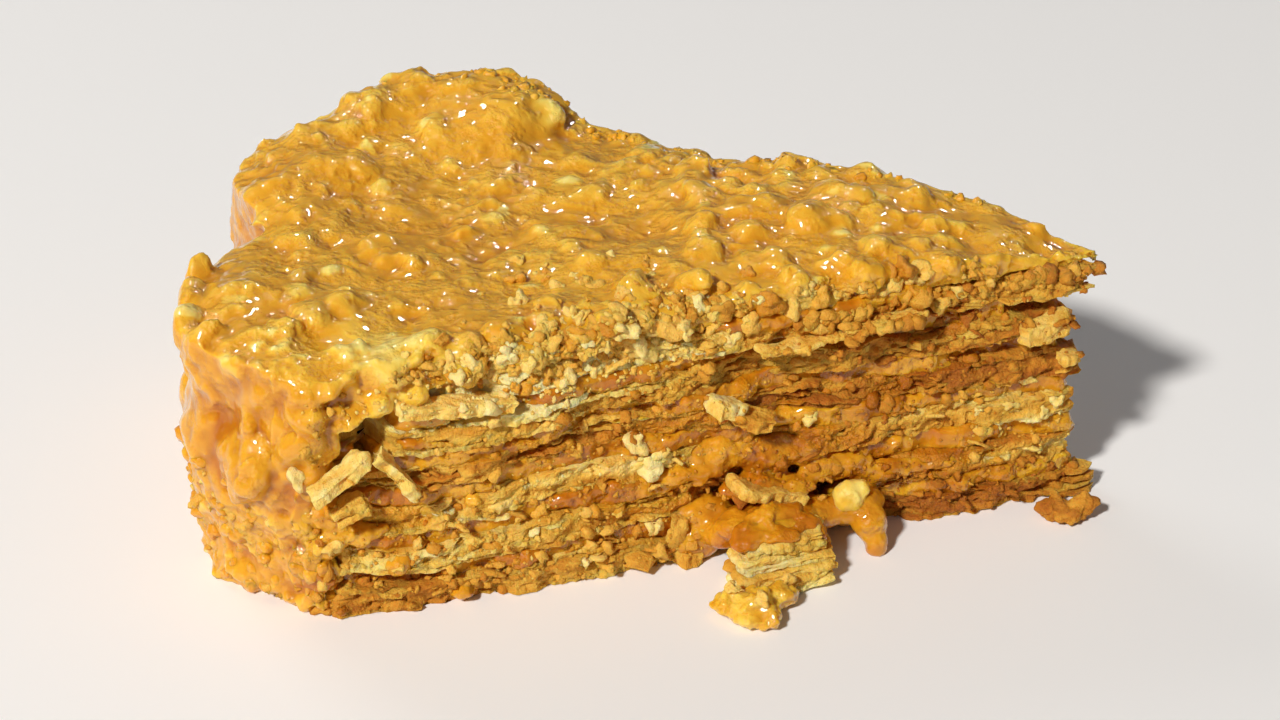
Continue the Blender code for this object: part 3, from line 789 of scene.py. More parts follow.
lump_sizes = np.where(in_patch[chosen] > 0.04, np.minimum(lump_sizes, PATCH_LUMP), lump_sizes)
lump_ways = ways[chosen]
at_edge = (front_reach(middles[chosen])[1] > -6 * MM) | (plan_polar(middles[chosen])[1] > 132 * MM)
lump_sunk = luck.uniform(0.06, 0.26, len(chosen)) + 0.16 * at_edge * (lump_sizes > LARGE_LUMP)
lump_places = lump_places - lump_ways * (lump_sizes * lump_sunk + 0.5 * MM)[:, None]
turns = [
    facing(way + 0.35 * luck.normal(size=3), luck.uniform(0, WHOLE_TURN)) * size
    for way, size in zip(lump_ways, lump_sizes)
]
balls = [nubble(40 + number, 2, 0.25, (1.0, 0.84, 0.60)) for number in range(6)]
places, outward = spots(coat), point_normals(coat)
move_to(coat, places - outward * (0.55 * MM * coat_outside(places, outward))[:, None])
print(len(lump_places), "lumps of", np.round(np.percentile(lump_sizes, (5, 50, 95)) / MM, 1), "mm")

# %% [markdown]
# Where the glaze ran down the rim it hangs in lobes: many small ones high on it, a few listed at the front
# corner, whose outline shows, and six broad ones that belly the rim out.

# %% Lobes on the rim, and one skin over everything
COAT_VOXEL = 0.50 * MM
lobe_places, lobe_turns = [], []


def add_lobe(place, way, size):
    """A large lump at this place, spun at random about this way."""
    lobe_places.append(place)
    lobe_turns.append(facing(way, luck.uniform(0, WHOLE_TURN)) * size * MM)


def on_rim(turn, out, up):
    """The way outwards at this angle, and the point there, this far out of the rim and up, in millimetres."""
    way = ray(np.array(turn))
    plan = APEX + way * (float(rim_radius(turn)) + out * MM)
    return way, np.array((*plan, up * MM))


for number in range(44):
    turn = math.radians(luck.uniform(-21.0, 16.5))
    size = np.array((luck.uniform(6, 14), luck.uniform(6, 14), luck.uniform(5.5, 8.0)))
    way, place = on_rim(turn, 3.2 - 0.34 * size[2], luck.uniform(20, 33))
    add_lobe(place, np.array((*way, 0.1)), size)
CORNER_LOBES = (
    (126.4, -1.6, 38, 8), (126.8, -0.8, 33.6, 9), (127.2, -1, 29, 9), (127.4, -1.6, 24.6, 8),
    (127, -2.6, 20.6, 6), (122.6, 0, 34.4, 6.4), (118, 0.2, 35, 5.6), (112.6, 0.2, 36, 5.4),
    (106, 0.2, 38.4, 5), (130, -5, 28, 9), (130.4, -6, 34, 9), (130.4, -7, 22.4, 7),
)
for reach, out, up, size in CORNER_LOBES:
    add_lobe(on_front(reach * MM, out * MM, up * MM), luck.normal(size=3), size)
for turn, up, size in ((-18.5, 25, 17), (-14, 27, 19), (-9, 25, 18), (-3, 27, 19), (4, 25, 17), (11, 27, 18)):
    way, place = on_rim(math.radians(turn), 0.4, up)
    add_lobe(place, np.array((*way, 0.2)), size)
lobes = strewn("lobes", balls, lobe_places, lobe_turns)
coat = join([coat, strewn("lumps", balls, lump_places, turns), lobes], "caramel_coat_glossy")
apply(coat, "REMESH", mode="VOXEL", voxel_size=COAT_VOXEL)
apply(coat, "SMOOTH", iterations=6, factor=0.6)
print("the coat has", len(coat.data.vertices), "points")

# %% [markdown]
# Noise of several sizes moves the skin in and out where it shows: broad swellings, sandy spots, a rougher front
# side and low rim, and drips along the front lip. What rises above the top of the solids' box is pressed down towards
# it. Nothing may stand higher than the solids' box.

# %% Unevenness of the coat
points, ways = spots(coat), point_normals(coat)
angle, radius, inside = plan_polar(points)
reach, out = front_reach(points)
above_stack = points[:, 2] - level(STACK_HEIGHT, points[:, 0])
under = (ways[:, 2] < -0.5) & (points[:, 2] > 6 * MM)
behind = (above_stack < -0.8 * MM) & (out < -2.5 * MM)
hidden = (radius < inside) & (under | behind)
in_patch = yellow_patch(points)
sandy = smooth((grain(points, 7 * MM, 74) - 0.40) / 0.3) * (1 - in_patch)
swell = 0.75 * MM * rough(points, 8 * MM, 71, 2) + 0.26 * MM * rough(points, 2.8 * MM, 73, 2) * (1 - 0.85 * in_patch)
swell += 0.30 * MM * (0.35 * (1 - in_patch) + sandy) * rough(points, 1.15 * MM, 76, 1) + 0.5 * MM * in_patch
swell += 0.6 * MM * grain(points, 12 * MM, 77) * (radius > inside - 6 * MM)
front_side = (ways[:, :2] @ OUT_OF_FRONT > 0.4) & (out > -3 * MM)
swell += front_side * 0.9 * MM * rough(points, 3.6 * MM, 79, 2)
low_rim = (1 - smooth((points[:, 2] - 15 * MM) / (7 * MM))) * (radius > inside - 1 * MM)
low_rim = low_rim * (1 - smooth((angle - math.radians(2)) / math.radians(10)))
swell = swell + low_rim * (0.8 * MM * rough(points, 3.2 * MM, 75, 3) - 1.2 * MM)
places = points + ways * np.where(hidden, 0.0, swell)[:, None]
lip = (out > -2.5 * MM) & (reach < 62 * MM) & (above_stack < 1.2 * MM)
places[:, 2] -= 1.5 * MM * lip * ~hidden * smooth((grain(tall(points, 0.0), 4 * MM, 83) - 0.35) / 0.4)
HIGHEST, GROUND = 49.6 * MM, 0.05 * MM
places[:, 2] = np.where(places[:, 2] > HIGHEST, HIGHEST + 0.35 * (places[:, 2] - HIGHEST), places[:, 2])
move_to(coat, above_table(places, GROUND))
print(round(100 * hidden.mean()), "% of the points are hidden and left as they were")

# %% [markdown]
# The glaze is paler on the tops of lumps and darker between them. How far each point stands above the coat, once
# that is smoothed flat, gives its tone. Some crumbs are pale themselves, and so is the yellow patch. The steep
# sides of the rim get painted shade, a darker tone that is weaker low on the rim.

# %% Tone of the coat
flat = new_object("flat_coat", coat.data.copy())
apply(flat, "SMOOTH", iterations=60, factor=0.6)
stands = ((spots(coat) - spots(flat)) * ways).sum(axis=1)
bpy.data.objects.remove(flat)
tree = kdtree.KDTree(len(lump_places))
for number, place in enumerate(lump_places):
    tree.insert(place, number)
tree.balance()
pale = (luck.random(len(lump_places)) < 0.16) * luck.uniform(0.2, 0.5, len(lump_places)) * (lump_sizes > 2.4 * MM)
nearest = [tree.find(place) for place in points]
number = np.array([found[1] for found in nearest])
closeness = smooth(1.5 - np.array([found[2] for found in nearest]) / (0.5 * lump_sizes[number]))
tone = 0.48 + np.clip(stands / (1.6 * MM), -0.4, 0.16) + pale[number] * closeness
tone += 0.10 * rough(points, 14 * MM, 9, 2) + 0.50 * in_patch
# Painted shade: the coat's steep rim sides are made darker, less so low on the rim.
tone += (0.16 * low_rim - 0.24) * (radius > inside - 1.5 * MM) * smooth((0.75 - ways[:, 2]) / 0.5)
paint(coat, "tone", np.clip(tone, 0.0, 1.0))
buried = coat.vertex_groups.new(name="buried")
buried.add(np.flatnonzero(hidden).tolist(), 1.0, "REPLACE")
print("it stands out by", np.round(np.percentile(stands, (5, 50, 95)) / MM, 2), "mm")
apply(coat, "DECIMATE", ratio=0.70, vertex_group="buried")
print("after thinning what is hidden:", len(coat.data.polygons), "faces")
bpy.ops.object.shade_smooth()
finish(coat, caramel, "caramel_coat", "caramel_coat")

# %% [markdown]
# ## Lumps of soft cream
#
# Blobs of cream and soft crumb are made from a few overlapping balls. A voxel remesh melts them into one skin,
# smoothing rounds it, and noise makes it uneven.

# %% Melting balls into one lump
def by_front(places, reach, out, up):
    """Moves points, given as along, out and up, to this place by the shown cut, in millimetres."""
    plan = APEX + ALONG_FRONT * reach * MM + OUT_OF_FRONT * out * MM
    turned = places[:, :1] * ALONG_FRONT + places[:, 1:2] * OUT_OF_FRONT
    return np.column_stack((plan + turned, places[:, 2] + up * MM))


def melted(name, balls, voxel, smoothing, uneven, size, seed):
    """One skin round balls given as (reach, out, height, half along, half out, half up), all in millimetres."""
    parts = []
    for reach, out, up, half_along, half_out, half_up in balls:
        bpy.ops.mesh.primitive_ico_sphere_add(subdivisions=4, radius=1.0)
        ball = bpy.context.object
        move_to(ball, by_front(spots(ball) * np.array((half_along, half_out, half_up)) * MM, reach, out, up))
        parts.append(ball)
    lump = join(parts, name)
    apply(lump, "REMESH", mode="VOXEL", voxel_size=voxel * MM)
    apply(lump, "SMOOTH", iterations=smoothing, factor=0.6)
    places, ways = spots(lump), point_normals(lump)
    places = places + ways * (uneven * MM * rough(places, size * MM, seed, 3))[:, None]
    move_to(lump, above_table(places, GROUND))
    bpy.ops.object.shade_smooth()
    return lump


def caramel_lump(name, balls, melting, tones, slot, *nodes):
    """A melted lump of caramel, whose tones are a mean, a change and the size of its patches in millimetres."""
    lump = melted(name, balls, *melting)
    mean, change, size = tones
    paint(lump, "tone", mean + change * rough(spots(lump), size * MM, melting[-1] + 1, 2))
    return finish(lump, caramel, slot, *nodes)


# %% [markdown]
# ## Cream that ran out
#
# Where the lowest sheets are broken away the cream has run out: a shiny fold and an apron on the left, a mound
# over the fallen piece of pastry, and a drip on the right that reaches the table.

# %% Fold, apron, mound and drip
OOZE = (
    (69, -0.6, 7.6, 5.2, 3.2, 2.1), (70.2, 0.8, 3, 4.2, 2.4, 3.2), (60, -3.8, 4.6, 11, 4, 4.6),
    (61, 5.4, 7.6, 8, 4.6, 2.5), (66, 3.4, 5.6, 4.6, 3.4, 2.6), (53, 3, 6, 5.6, 3.4, 2.8),
    (46, 3.4, 6.4, 4.8, 3.2, 2.6), (44.4, 6.4, 4.4, 3, 2.4, 3), (43.9, 8, 1.8, 1.9, 1.6, 2.4),
    (45, -1, 4.4, 5, 3.6, 4.2),
)
# Painted shade: the run-out cream's low mean tone of 0.20 is partly its darker caramel and partly painted shade where
# it lies low in the shade.
caramel_lump("oozed_cream_glossy", OOZE, (0.42, 6, 0.34, 2.6, 41), (0.20, 0.26, 5), "cream", "oozed_cream")

# %% [markdown]
# Caramel is also smeared over the cut face in flat glossy patches, which follow the layers.

# %% Smears on the cut face
SMEARS = (
    (88, -0.6, 13.6, 6, 1.6, 1.8), (79, -0.4, 13.8, 7, 1.7, 2.2), (71, -0.2, 14.6, 6, 1.9, 1.9),
    (66, -0.8, 17, 7.5, 2, 2.6), (57, -0.6, 15.4, 8, 2, 3), (62, 1.2, 11.4, 4.6, 2.6, 1.6),
    (55.5, 1.6, 10.6, 3.8, 2.8, 1.5), (48, -0.2, 11.6, 6, 2.2, 2.4), (40, 0.2, 9.6, 6, 1.8, 1.7),
    (32, 0.8, 9.8, 5, 1.6, 1.4), (98, -0.8, 24.6, 5.6, 1.5, 1.2), (104, -0.8, 24.4, 4, 1.4, 1),
    (122, -0.4, 14, 5, 1.8, 1.8), (126, -1.6, 17.4, 4, 2.8, 2.4), (112, -0.8, 27.4, 3.4, 1.6, 1.2),
    (126.5, -2.6, 12, 3.2, 3.4, 2.8), (127, -3, 6.4, 3.4, 3.4, 2.6), (127.5, -2.6, 21.4, 3.4, 3, 2.6),
    (60, -0.4, 38.6, 8, 1.8, 1.6), (49, -0.2, 38.6, 7, 1.8, 1.8), (40, -0.4, 39.6, 6, 1.6, 1.4),
)
caramel_lump("caramel_smears", SMEARS, (0.42, 3, 0.62, 2.2, 51), (0.18, 0.30, 4.5), "cream")

# %% [markdown]
# ## The fallen piece and the crumb cluster
#
# The piece of pastry in front is a short stack of pale leaves. Each starts as a cube, flattened, remeshed and
# worn ragged. In front of it lies a lower, sticky cluster of crumbs, and two browned crumbs lie by the tip.

# %% Ragged slabs of pastry
def slab(place, size, turn, tilt, seed, voxel=0.38, ragged=0.7):
    """A worn slab of pastry at (reach, out, height), turned and then tilted, in millimetres and degrees."""
    bpy.ops.mesh.primitive_cube_add(size=1.0)
    piece = bpy.context.object
    move_to(piece, spots(piece) * np.array(size) * MM)
    apply(piece, "REMESH", mode="VOXEL", voxel_size=voxel * MM)
    places, ways = spots(piece), point_normals(piece)
    flat = places + np.array((seed % 97, seed % 89, seed % 83)) * 11 * MM
    edge = 1.0 - np.abs(ways[:, 2])
    wear = ragged * MM * rough(flat * np.array((1, 1, 0.4)), 2.6 * MM, seed, 3) * (0.25 + edge)
    wear += 0.35 * ragged * MM * edge * rough(flat * np.array((0.3, 0.3, 1)), 0.8 * MM, seed + 2, 1)
    places = places + ways * (wear + 0.16 * MM * rough(flat, 0.9 * MM, seed + 5, 2))[:, None]
    places[:, 2] += 0.35 * MM * rough(flat * np.array((1, 1, 0)), 5 * MM, seed + 9, 2)
    spin, lean = math.radians(turn), math.radians(tilt)
    leaned = np.column_stack((
        places[:, 0] * math.cos(lean) - places[:, 2] * math.sin(lean), places[:, 1],
        places[:, 0] * math.sin(lean) + places[:, 2] * math.cos(lean),
    ))
    across = leaned[:, :1] * math.cos(spin) - leaned[:, 1:2] * math.sin(spin)
    outwards = leaned[:, :1] * math.sin(spin) + leaned[:, 1:2] * math.cos(spin)
    turned = np.column_stack((across, outwards, leaned[:, 2]))
    move_to(piece, above_table(by_front(turned, *place), GROUND))
    return piece


# %% The fallen piece
leaves = []
for number, up in enumerate((1.0, 2.1, 3.1, 4.1, 5.1, 6.1, 7.1)):
    size = (15.8 - 0.5 * number + dice.uniform(-1.2, 1.2), 7.4 - 0.35 * number, dice.uniform(1.1, 1.5))
    place = (60.2 + dice.uniform(-0.7, 0.7), 11.0 - 0.30 * number + dice.uniform(-0.4, 0.4), up)
    part = slab(place, size, dice.uniform(-5, 5), -4.0, 900 + 10 * number, ragged=1.0)
    paint_pastry(part, 0.84 + dice.uniform(-0.1, 0.1), 950 + number)
    paint(part, "soaked", 0.20 + 0.03 * number)
    leaves.append(part)
finish(join(leaves, "pastry_chunk_flaky"), pastry, "pastry", "pastry_chunk")

# %% Caramel on the fallen piece
CAP = (
    (63, 8.6, 8.4, 4.4, 2.6, 1.2), (57.6, 8.2, 8, 4.2, 2.4, 1.3), (60.2, 10.4, 8, 3.4, 2.2, 1),
    (65.8, 9.8, 7.4, 2.4, 2, 1), (54.6, 9.4, 6.6, 2, 1.8, 1.2), (60.6, 6.4, 9.2, 4.6, 2.2, 1.4),
)
caramel_lump("caramel_on_the_fallen_piece", CAP, (0.36, 3, 0.5, 1.9, 85), (0.06, 0.30, 4), "cream")

# %% The sticky crumb cluster, and the two crumbs by the tip
CLUSTER = (
    (70.6, 17.2, 2.2, 3.2, 2.2, 1.7), (67.6, 18.4, 2.8, 3, 2.6, 2.2), (64.4, 17.8, 2.4, 2.8, 2.4, 1.9),
    (66.6, 21, 1.6, 2.6, 2.2, 1.5), (62, 16.8, 1.6, 2.2, 1.8, 1.4), (69, 20, 1.2, 2, 2, 1.1),
)
CLUSTER_LOOK = (0.36, 1, 0.85, 1.9, 81), (0.62, 0.30, 3)
caramel_lump("crumb_cluster_sticky", CLUSTER, *CLUSTER_LOOK, "pastry", "crumb_cluster")
TIP_CRUMBS = ((14.0, 7.2, 1.9, 2.4, 1.9, 1.8), (10.2, 8.6, 2.6, 2.2, 1.8, 2.0), (12.2, 9.4, 1.4, 2.4, 1.6, 1.3))
browned = melted("loose_crumb_browned", TIP_CRUMBS, 0.34, 1, 0.75, 1.5, 91)
paint(browned, "tone", 0.26 + 0.22 * rough(spots(browned), 2.5 * MM, 92, 2))
paint(browned, "soaked", 0.35)
finish(browned, pastry, "pastry", "loose_crumb")

# %% [markdown]
# ## Flakes that stand out by themselves
#
# A few large pieces catch the eye: two flakes that lean at the dark hole, a pale and orange one in the middle,
# a pale one at the tip, a ledge over the run-out cream, long thin leaves under the coat, and a pale nut-sized crumb
# in the cream above the drip. Each is a slab: its place, its size, its turn and tilt, and its tone.

# %% Large flakes, each at its place
LARGE_FLAKES = (
    ((124.6, 1.8, 25), (9.4, 3.6, 1.9), 6, -30, 0.76), ((115.9, 1.6, 24), (9, 3.2, 1.8), -8, 54, 0.78),
    ((123.6, 1.6, 20), (5.2, 3.4, 1.3), 4, -16, 0.62), ((122.6, 1.8, 18.6), (4.8, 3.4, 1.2), -4, -22, 0.56),
    ((66.6, 2.2, 26.2), (4.4, 3.2, 2.4), 24, 18, 0.84), ((62.2, 2.4, 24), (6.2, 3.6, 2.2), -12, 14, 0.42),
    ((15.8, 2.6, 31.4), (7.2, 2.6, 3.4), 6, -8, 0.64), ((11.8, 3, 26), (3.4, 2.8, 1.6), 10, 6, 0.66),
    ((59.8, 3.2, 11.2), (11, 4.6, 2), 4, 20, 0.60), ((74.4, 0.8, 4.6), (2.6, 2.8, 7.4), 0, 14, 0.56),
    ((71.8, 1.8, 1.3), (3.6, 3, 2.2), 20, 4, 0.52), ((53, 1.4, 34.9), (17, 3, 0.9), 2, -3, 0.58),
    ((42, 1.8, 37), (13, 3, 0.8), -2, -4, 0.56), ((107, 1.4, 33.6), (17, 4, 2), 1, 7, 0.74),
)
flakes = []
for number, (place, size, turn, tilt, base_tone) in enumerate(LARGE_FLAKES):
    part = slab(place, size, turn, tilt, 1200 + 13 * number, voxel=0.30, ragged=0.8)
    paint_pastry(part, base_tone, 1300 + number)
    paint(part, "tone", base_tone + 0.14 * rough(spots(part), 1.6 * MM, 1400 + number, 2))
    paint(part, "soaked", 0.12)
    flakes.append(part)
finish(join(flakes, "large_flakes"), pastry, "pastry")
NUT = ((47.0, 4.1, 8.2, 2.8, 2.2, 2.9), (45.6, 4.3, 9.2, 1.7, 1.6, 1.7))
caramel_lump("glazed_nut", NUT, (0.34, 2, 0.30, 2.0, 77), (0.86, 0.2, 2), "cream")

# %% [markdown]
# ## Thousands of crumbs
#
# Crumbs and small flakes lie all over the cut faces and along the coat's edges. A few kinds are modelled, and each
# place is found by looking at the slice from outside, so that every crumb sits on something. All the copies of one
# kind are one joined mesh.

# %% The kinds of crumb and flake
COUNTS = {
    "small_flakes": 230, "crumb_dust": 3400, "cut_face_crumbs": 900, "coat_edge_crumbs": 560,
    "browned_edge_crumbs": 210, "fine_glazed_crumbs": 130, "glazed_rim_crumbs": 110, "rim_crumbs": 170,
}


def flake_kind(seed):
    """A small ragged plate, one unit across."""
    bpy.ops.mesh.primitive_circle_add(vertices=16, radius=0.5, fill_type="TRIFAN")
    made = bpy.context.object
    places = spots(made)
    places[:, :2] *= (1.0 + 0.55 * rough(places, 0.4, seed, 2))[:, None] * np.array((1.15, 0.75))
    places[:, 2] = 0.10 * grain(places, 0.5, seed + 4)
    move_to(made, places)
    apply(made, "SOLIDIFY", thickness=0.16, offset=0.0)
    plate = spots(made), triangles(made)
    bpy.data.objects.remove(made)
    return plate


dust_kinds = [nubble(1900 + number, 1, 0.5) for number in range(5)]
crumb_kinds = [nubble(2000 + number, 2, 0.6) for number in range(6)]
lump_kinds = [nubble(2050 + number, 3, 0.75) for number in range(5)]
round_kinds = [nubble(2070 + number, 3, 0.35, (1.0, 0.9, 0.8)) for number in range(5)]
flake_kinds = [flake_kind(2100 + 10 * number) for number in range(5)]
for kinds in (dust_kinds, crumb_kinds, lump_kinds, round_kinds, flake_kinds):
    print(len(kinds), "shapes of", len(kinds[0][1]), "triangles")

# %% Placing copies
def spun(axis, turn):
    """A turn about an axis as a matrix."""
    x, y, z = axis / np.linalg.norm(axis)
    cross = np.array(((0, -z, y), (z, 0, -x), (-y, x, 0)))
    return np.eye(3) + math.sin(turn) * cross + (1 - math.cos(turn)) * cross @ cross


luck = np.random.default_rng(21)


def tumbled():
    """A random turn, any way round."""
    return spun(luck.normal(size=3), luck.uniform(0, 3.1))


def scatter(name, shapes, places, sizes, tones, soaking, material=None, turns=None):
    """One mesh of many crumbs or flakes, each at its place, size and turn, with its own tone."""
    turns = turns or [tumbled() for _ in places]
    piece = strewn(name, shapes, places, [turn * size for turn, size in zip(turns, sizes)])
    counts = [len(shapes[number % len(shapes)][0]) for number in range(len(places))]
    move_to(piece, above_table(spots(piece), 0.03 * MM))
    paint(piece, "tone", np.repeat(np.clip(tones, 0.05, 1.0), counts))
    paint(piece, "soaked", np.repeat(np.broadcast_to(soaking, len(places)), counts))
    pick(piece)
    bpy.ops.object.shade_smooth()
    if material:
        return finish(piece, material, "cream")
    return finish(piece, pastry_crumb, "pastry")


LOOK_FROM = 30 * MM
bpy.context.view_layer.update()
graph = bpy.context.evaluated_depsgraph_get()


def touch(origin, way):
    """The first point that a look from outside meets, and the way its face points."""
    hit, place, normal, _, _, _ = bpy.context.scene.ray_cast(graph, Vector(origin), Vector(way), distance=0.08)
    return (np.array(place), np.array(normal)) if hit else (None, None)


def touch_front(reach, height, slope=0.0):
    """What a look at the shown cut meets, from outside it at this reach and height."""
    return touch(on_front(reach, LOOK_FROM, height), (*-OUT_OF_FRONT, slope))


def back_place(reach, out, height):
    """The point at this reach along the hidden cut, this far out of it."""
    way = ray(np.array(BACK_CUT))
    plan = APEX + way * reach + np.array((way[1], -way[0])) * out
    return np.array((plan[0], plan[1], height))


print("looks from outside find:", touch(on_front(0.08, 0.03, 0.02), (*-OUT_OF_FRONT, 0.0))[0])

# %% [markdown]
# ### On the cut faces
#
# Flakes lie nearly level, half stuck in the face. Crumbs of all sizes are found by looking slightly downwards, so
# that more of them lie on ledges. Near the dark hole the face is left clean.

# %% Places on both cuts
HOLE_REACH, HOLE_HEIGHT = 120 * MM, 29 * MM


def spread(count, faces, reaches, heights, downward=0.0):
    """Places on the cut faces, found by looking at them from outside, some way downwards."""
    found = []
    while len(found) < count:
        face = faces[int(luck.integers(len(faces)))]
        reach, height = luck.uniform(*reaches) * MM, luck.uniform(*heights) * MM
        at_hole = abs(reach - HOLE_REACH) < 6 * MM and abs(height - HOLE_HEIGHT) < 4.5 * MM
        if face == "front" and at_hole:
            continue
        place_at = on_front if face == "front" else back_place
        origin = place_at(reach, LOOK_FROM, height)
        way = (place_at(reach, 0.0, height) - origin) / LOOK_FROM
        origin[2] += LOOK_FROM * downward
        place, normal = touch(origin, way - np.array((0.0, 0.0, downward)))
        if place is None or place[2] > 37.5 * MM or front_reach(place[None])[1][0] > 4.0 * MM:
            continue
        found.append((place, normal, -way))
    return found


def nearly_level():
    """A random turn that leaves a flake nearly level."""
    tilt = spun(luck.normal(size=3) * (1, 1, 0.2), luck.normal() * 0.30)
    return tilt @ spun(np.array((0.0, 0.0, 1.0)), luck.uniform(0, WHOLE_TURN))


found = spread(COUNTS["small_flakes"], ("front", "back"), (8, 124), (0.8, 37))
places = np.array([place + outward * luck.uniform(-0.6, 0.3) * MM for place, normal, outward in found])
sizes = [luck.uniform(1.2, 3.2) * MM for _ in found]
tones = luck.normal(0.52, 0.15, len(found))
turns = [nearly_level() for _ in found]
scatter("small_flakes", flake_kinds, places, sizes, tones + spot_sum(places, TONE_SPOTS), 0.30, None, turns)


# %% Crumbs on both cuts
def crumbs_on_cuts(name, kinds, downward, deepest, size, tone, change):
    """Crumbs all over both cuts, twice as many on the shown one, in the tone of what they lie on."""
    count = COUNTS[name]
    found = spread(count, ("front", "front", "back"), (6, 129), (0.3, 40), downward)
    places = np.array([place - outward * luck.uniform(0.0, deepest) * MM for place, normal, outward in found])
    sizes = [size() * MM for _ in found]
    tones = luck.normal(tone, change, count) + 0.16 * rough(places, 9 * MM, 61, 2)
    soaking = np.clip(0.35 + spot_sum(places, SOAKED_SPOTS) + luck.normal(0, 0.15, count), 0, 1)
    scatter(name, kinds, places, sizes, tones + spot_sum(places, TONE_SPOTS), soaking)


crumbs_on_cuts("crumb_dust", dust_kinds, 0.35, 0.25, lambda: luck.uniform(0.40, 0.85), 0.50, 0.09)
crumbs_on_cuts("cut_face_crumbs", crumb_kinds, 0.25, 0.5, lambda: 0.8 + 1.8 * luck.random() ** 3.0, 0.52, 0.10)

# %% [markdown]
# ### Crumbs along the coat's front edge
#
# The knife pulled crumbs up to the coat's edge. Most are golden and half sunk in the glaze, and a few are pale,
# dry and larger.

# %% Crumbs on the coat's front edge
places, sizes, tones, soaking = [], [], [], []
while len(places) < COUNTS["coat_edge_crumbs"]:
    reach = luck.uniform(24, 116) * MM
    middle = 42.0 * MM - 3.0 * MM * smooth((reach - 60 * MM) / (60 * MM))
    crowded = hill(reach - 88 * MM, 32 * MM)
    height = middle + luck.normal() * (1.2 + 1.8 * crowded) * MM
    if luck.random() > 0.12 + 0.88 * crowded:
        continue
    place, normal = touch_front(reach, height + 8 * MM, -0.27)
    if place is None or place[2] < 30 * MM:
        continue
    size = (0.9 + 3.0 * luck.random() ** 2.2) * MM
    places.append(place - np.array(normal) * size * luck.uniform(0.0, 0.3))
    sizes.append(size)
    tones.append(luck.normal(0.66, 0.13))
    soaking.append(luck.uniform(0.1, 0.75))
scatter("coat_edge_crumbs", lump_kinds, places, sizes, tones, soaking)

# %% Browned crumbs under the coat near the tip
places, sizes = [], []
while len(places) < COUNTS["browned_edge_crumbs"]:
    reach = luck.uniform(6, 56) * MM
    height = level(STACK_HEIGHT, APEX[0] - reach) + (0.2 - 2.6 * luck.random()) * MM
    place, normal = touch_front(reach, height)
    if place is not None:
        places.append(place - OUT_OF_FRONT_3D * luck.uniform(-0.3, 0.5) * MM)
        sizes.append((0.9 + 2.0 * luck.random() ** 2.0) * MM)
turns = [tumbled() for _ in places]
tones = luck.normal(0.46, 0.15, len(places))
scatter("browned_edge_crumbs", crumb_kinds, places, sizes, tones, 0.45, None, turns)

# %% Single crumbs that catch the eye
PALE_CRUMBS = (
    (81.5, 43.4, 3.6), (72.9, 41.6, 3.4), (69.9, 44.1, 3), (65.3, 38.2, 3), (90.6, 36.4, 2.8),
    (79.7, 39.4, 3.2), (107, 37.6, 2.8), (104.7, 41.6, 3.4), (101.1, 39, 3.6), (98.8, 42.6, 3),
    (96, 40.5, 2.4), (85.7, 36.3, 2.6), (77.4, 18.4, 4.2), (79.6, 23.2, 4), (76, 20.6, 2.6),
    (101, 16.1, 3.2), (88.3, 4.7, 3), (80.2, 1, 3), (77.3, 8.4, 3.2), (52.4, 22.5, 2.6),
    (16.6, 23.1, 2.6), (20.5, 19.4, 2.8), (14.5, 17.4, 2.6), (12.1, 18.8, 2.6), (24.6, 19.2, 2.4),
    (130, 26.3, 3), (126, 14, 3),
)
BROWN_CRUMBS = (
    (127, 2.5, 5), (124, 4.8, 4), (120, 2, 4.4), (115.6, 2.4, 4.4), (110, 1.8, 3.6),
    (106, 2.6, 3), (126.5, 9, 3.6), (101, 1.6, 3.2), (91, 1.4, 3),
)
CLUSTER_CRUMBS = ((61.6, 16.2, 2.4), (60.6, 19.4, 2.2), (63.4, 21.6, 2.6), (67.0, 20.6, 2.0), (70.4, 17.0, 2.2))
places, sizes, tones, turns = [], [], [], []


def single(place, shift, size, tone):
    """Notes one crumb, if the look met anything. The tone is called, as it may draw a random number."""
    if place is not None:
        places.append(place + shift * size * MM)
        sizes.append(size * MM)
        tones.append(tone())
        turns.append(tumbled())


for crumbs, mean in ((PALE_CRUMBS, 0.84), (BROWN_CRUMBS, 0.26)):
    for reach, height, size in crumbs:
        met = touch_front(reach * MM, height * MM, -0.05)[0]
        single(met, -0.15 * OUT_OF_FRONT_3D, size, lambda: mean + luck.normal() * 0.05)
for reach, out, size in CLUSTER_CRUMBS:
    met = touch(on_front(reach * MM, out * MM, 40 * MM), (0.0, 0.0, -1.0))[0]
    single(met, np.array((0.0, 0.0, 0.25)), size, lambda: 0.72)
scatter("single_crumbs", lump_kinds, places, sizes, tones, 0.15, None, turns)

# %% [markdown]
# ### Fine crumbs in the glaze
#
# Along the back edge of the coat, small glazed crumbs stand against the floor and make the outline rough. They are
# found by looking down at the coat, and crowd towards the edge.

# %% Fine crumbs along the coat's back edge
places, sizes = [], []
while len(places) < COUNTS["fine_glazed_crumbs"]:
    turn = luck.uniform(17.0, 22.2)
    radius = RIM_RADIUS * math.sqrt(luck.uniform(0.02, 1.05))
    if luck.random() > 0.1 + 0.9 * smooth((turn - 18.0) / 3.0):
        continue
    place, normal = touch((*(APEX + ray(np.array(math.radians(turn))) * radius), 80 * MM), (0.0, 0.0, -1.0))
    if place is None or place[2] < 36 * MM or place[2] > 49.4 * MM:
        continue
    size = (0.9 + 1.6 * luck.random() ** 2.0) * MM
    places.append(place - normal * size * luck.uniform(0.10, 0.30))
    sizes.append(size)
tones = luck.normal(0.50, 0.10, len(places))
scatter("fine_glazed_crumbs", crumb_kinds, places, sizes, tones, 0.8, glaze_crumb)

# %% [markdown]
# ### Crumbs low on the rim
#
# Low on the rim the glaze is thin, and soaked crumbs show through it, all round and most of all at the front.

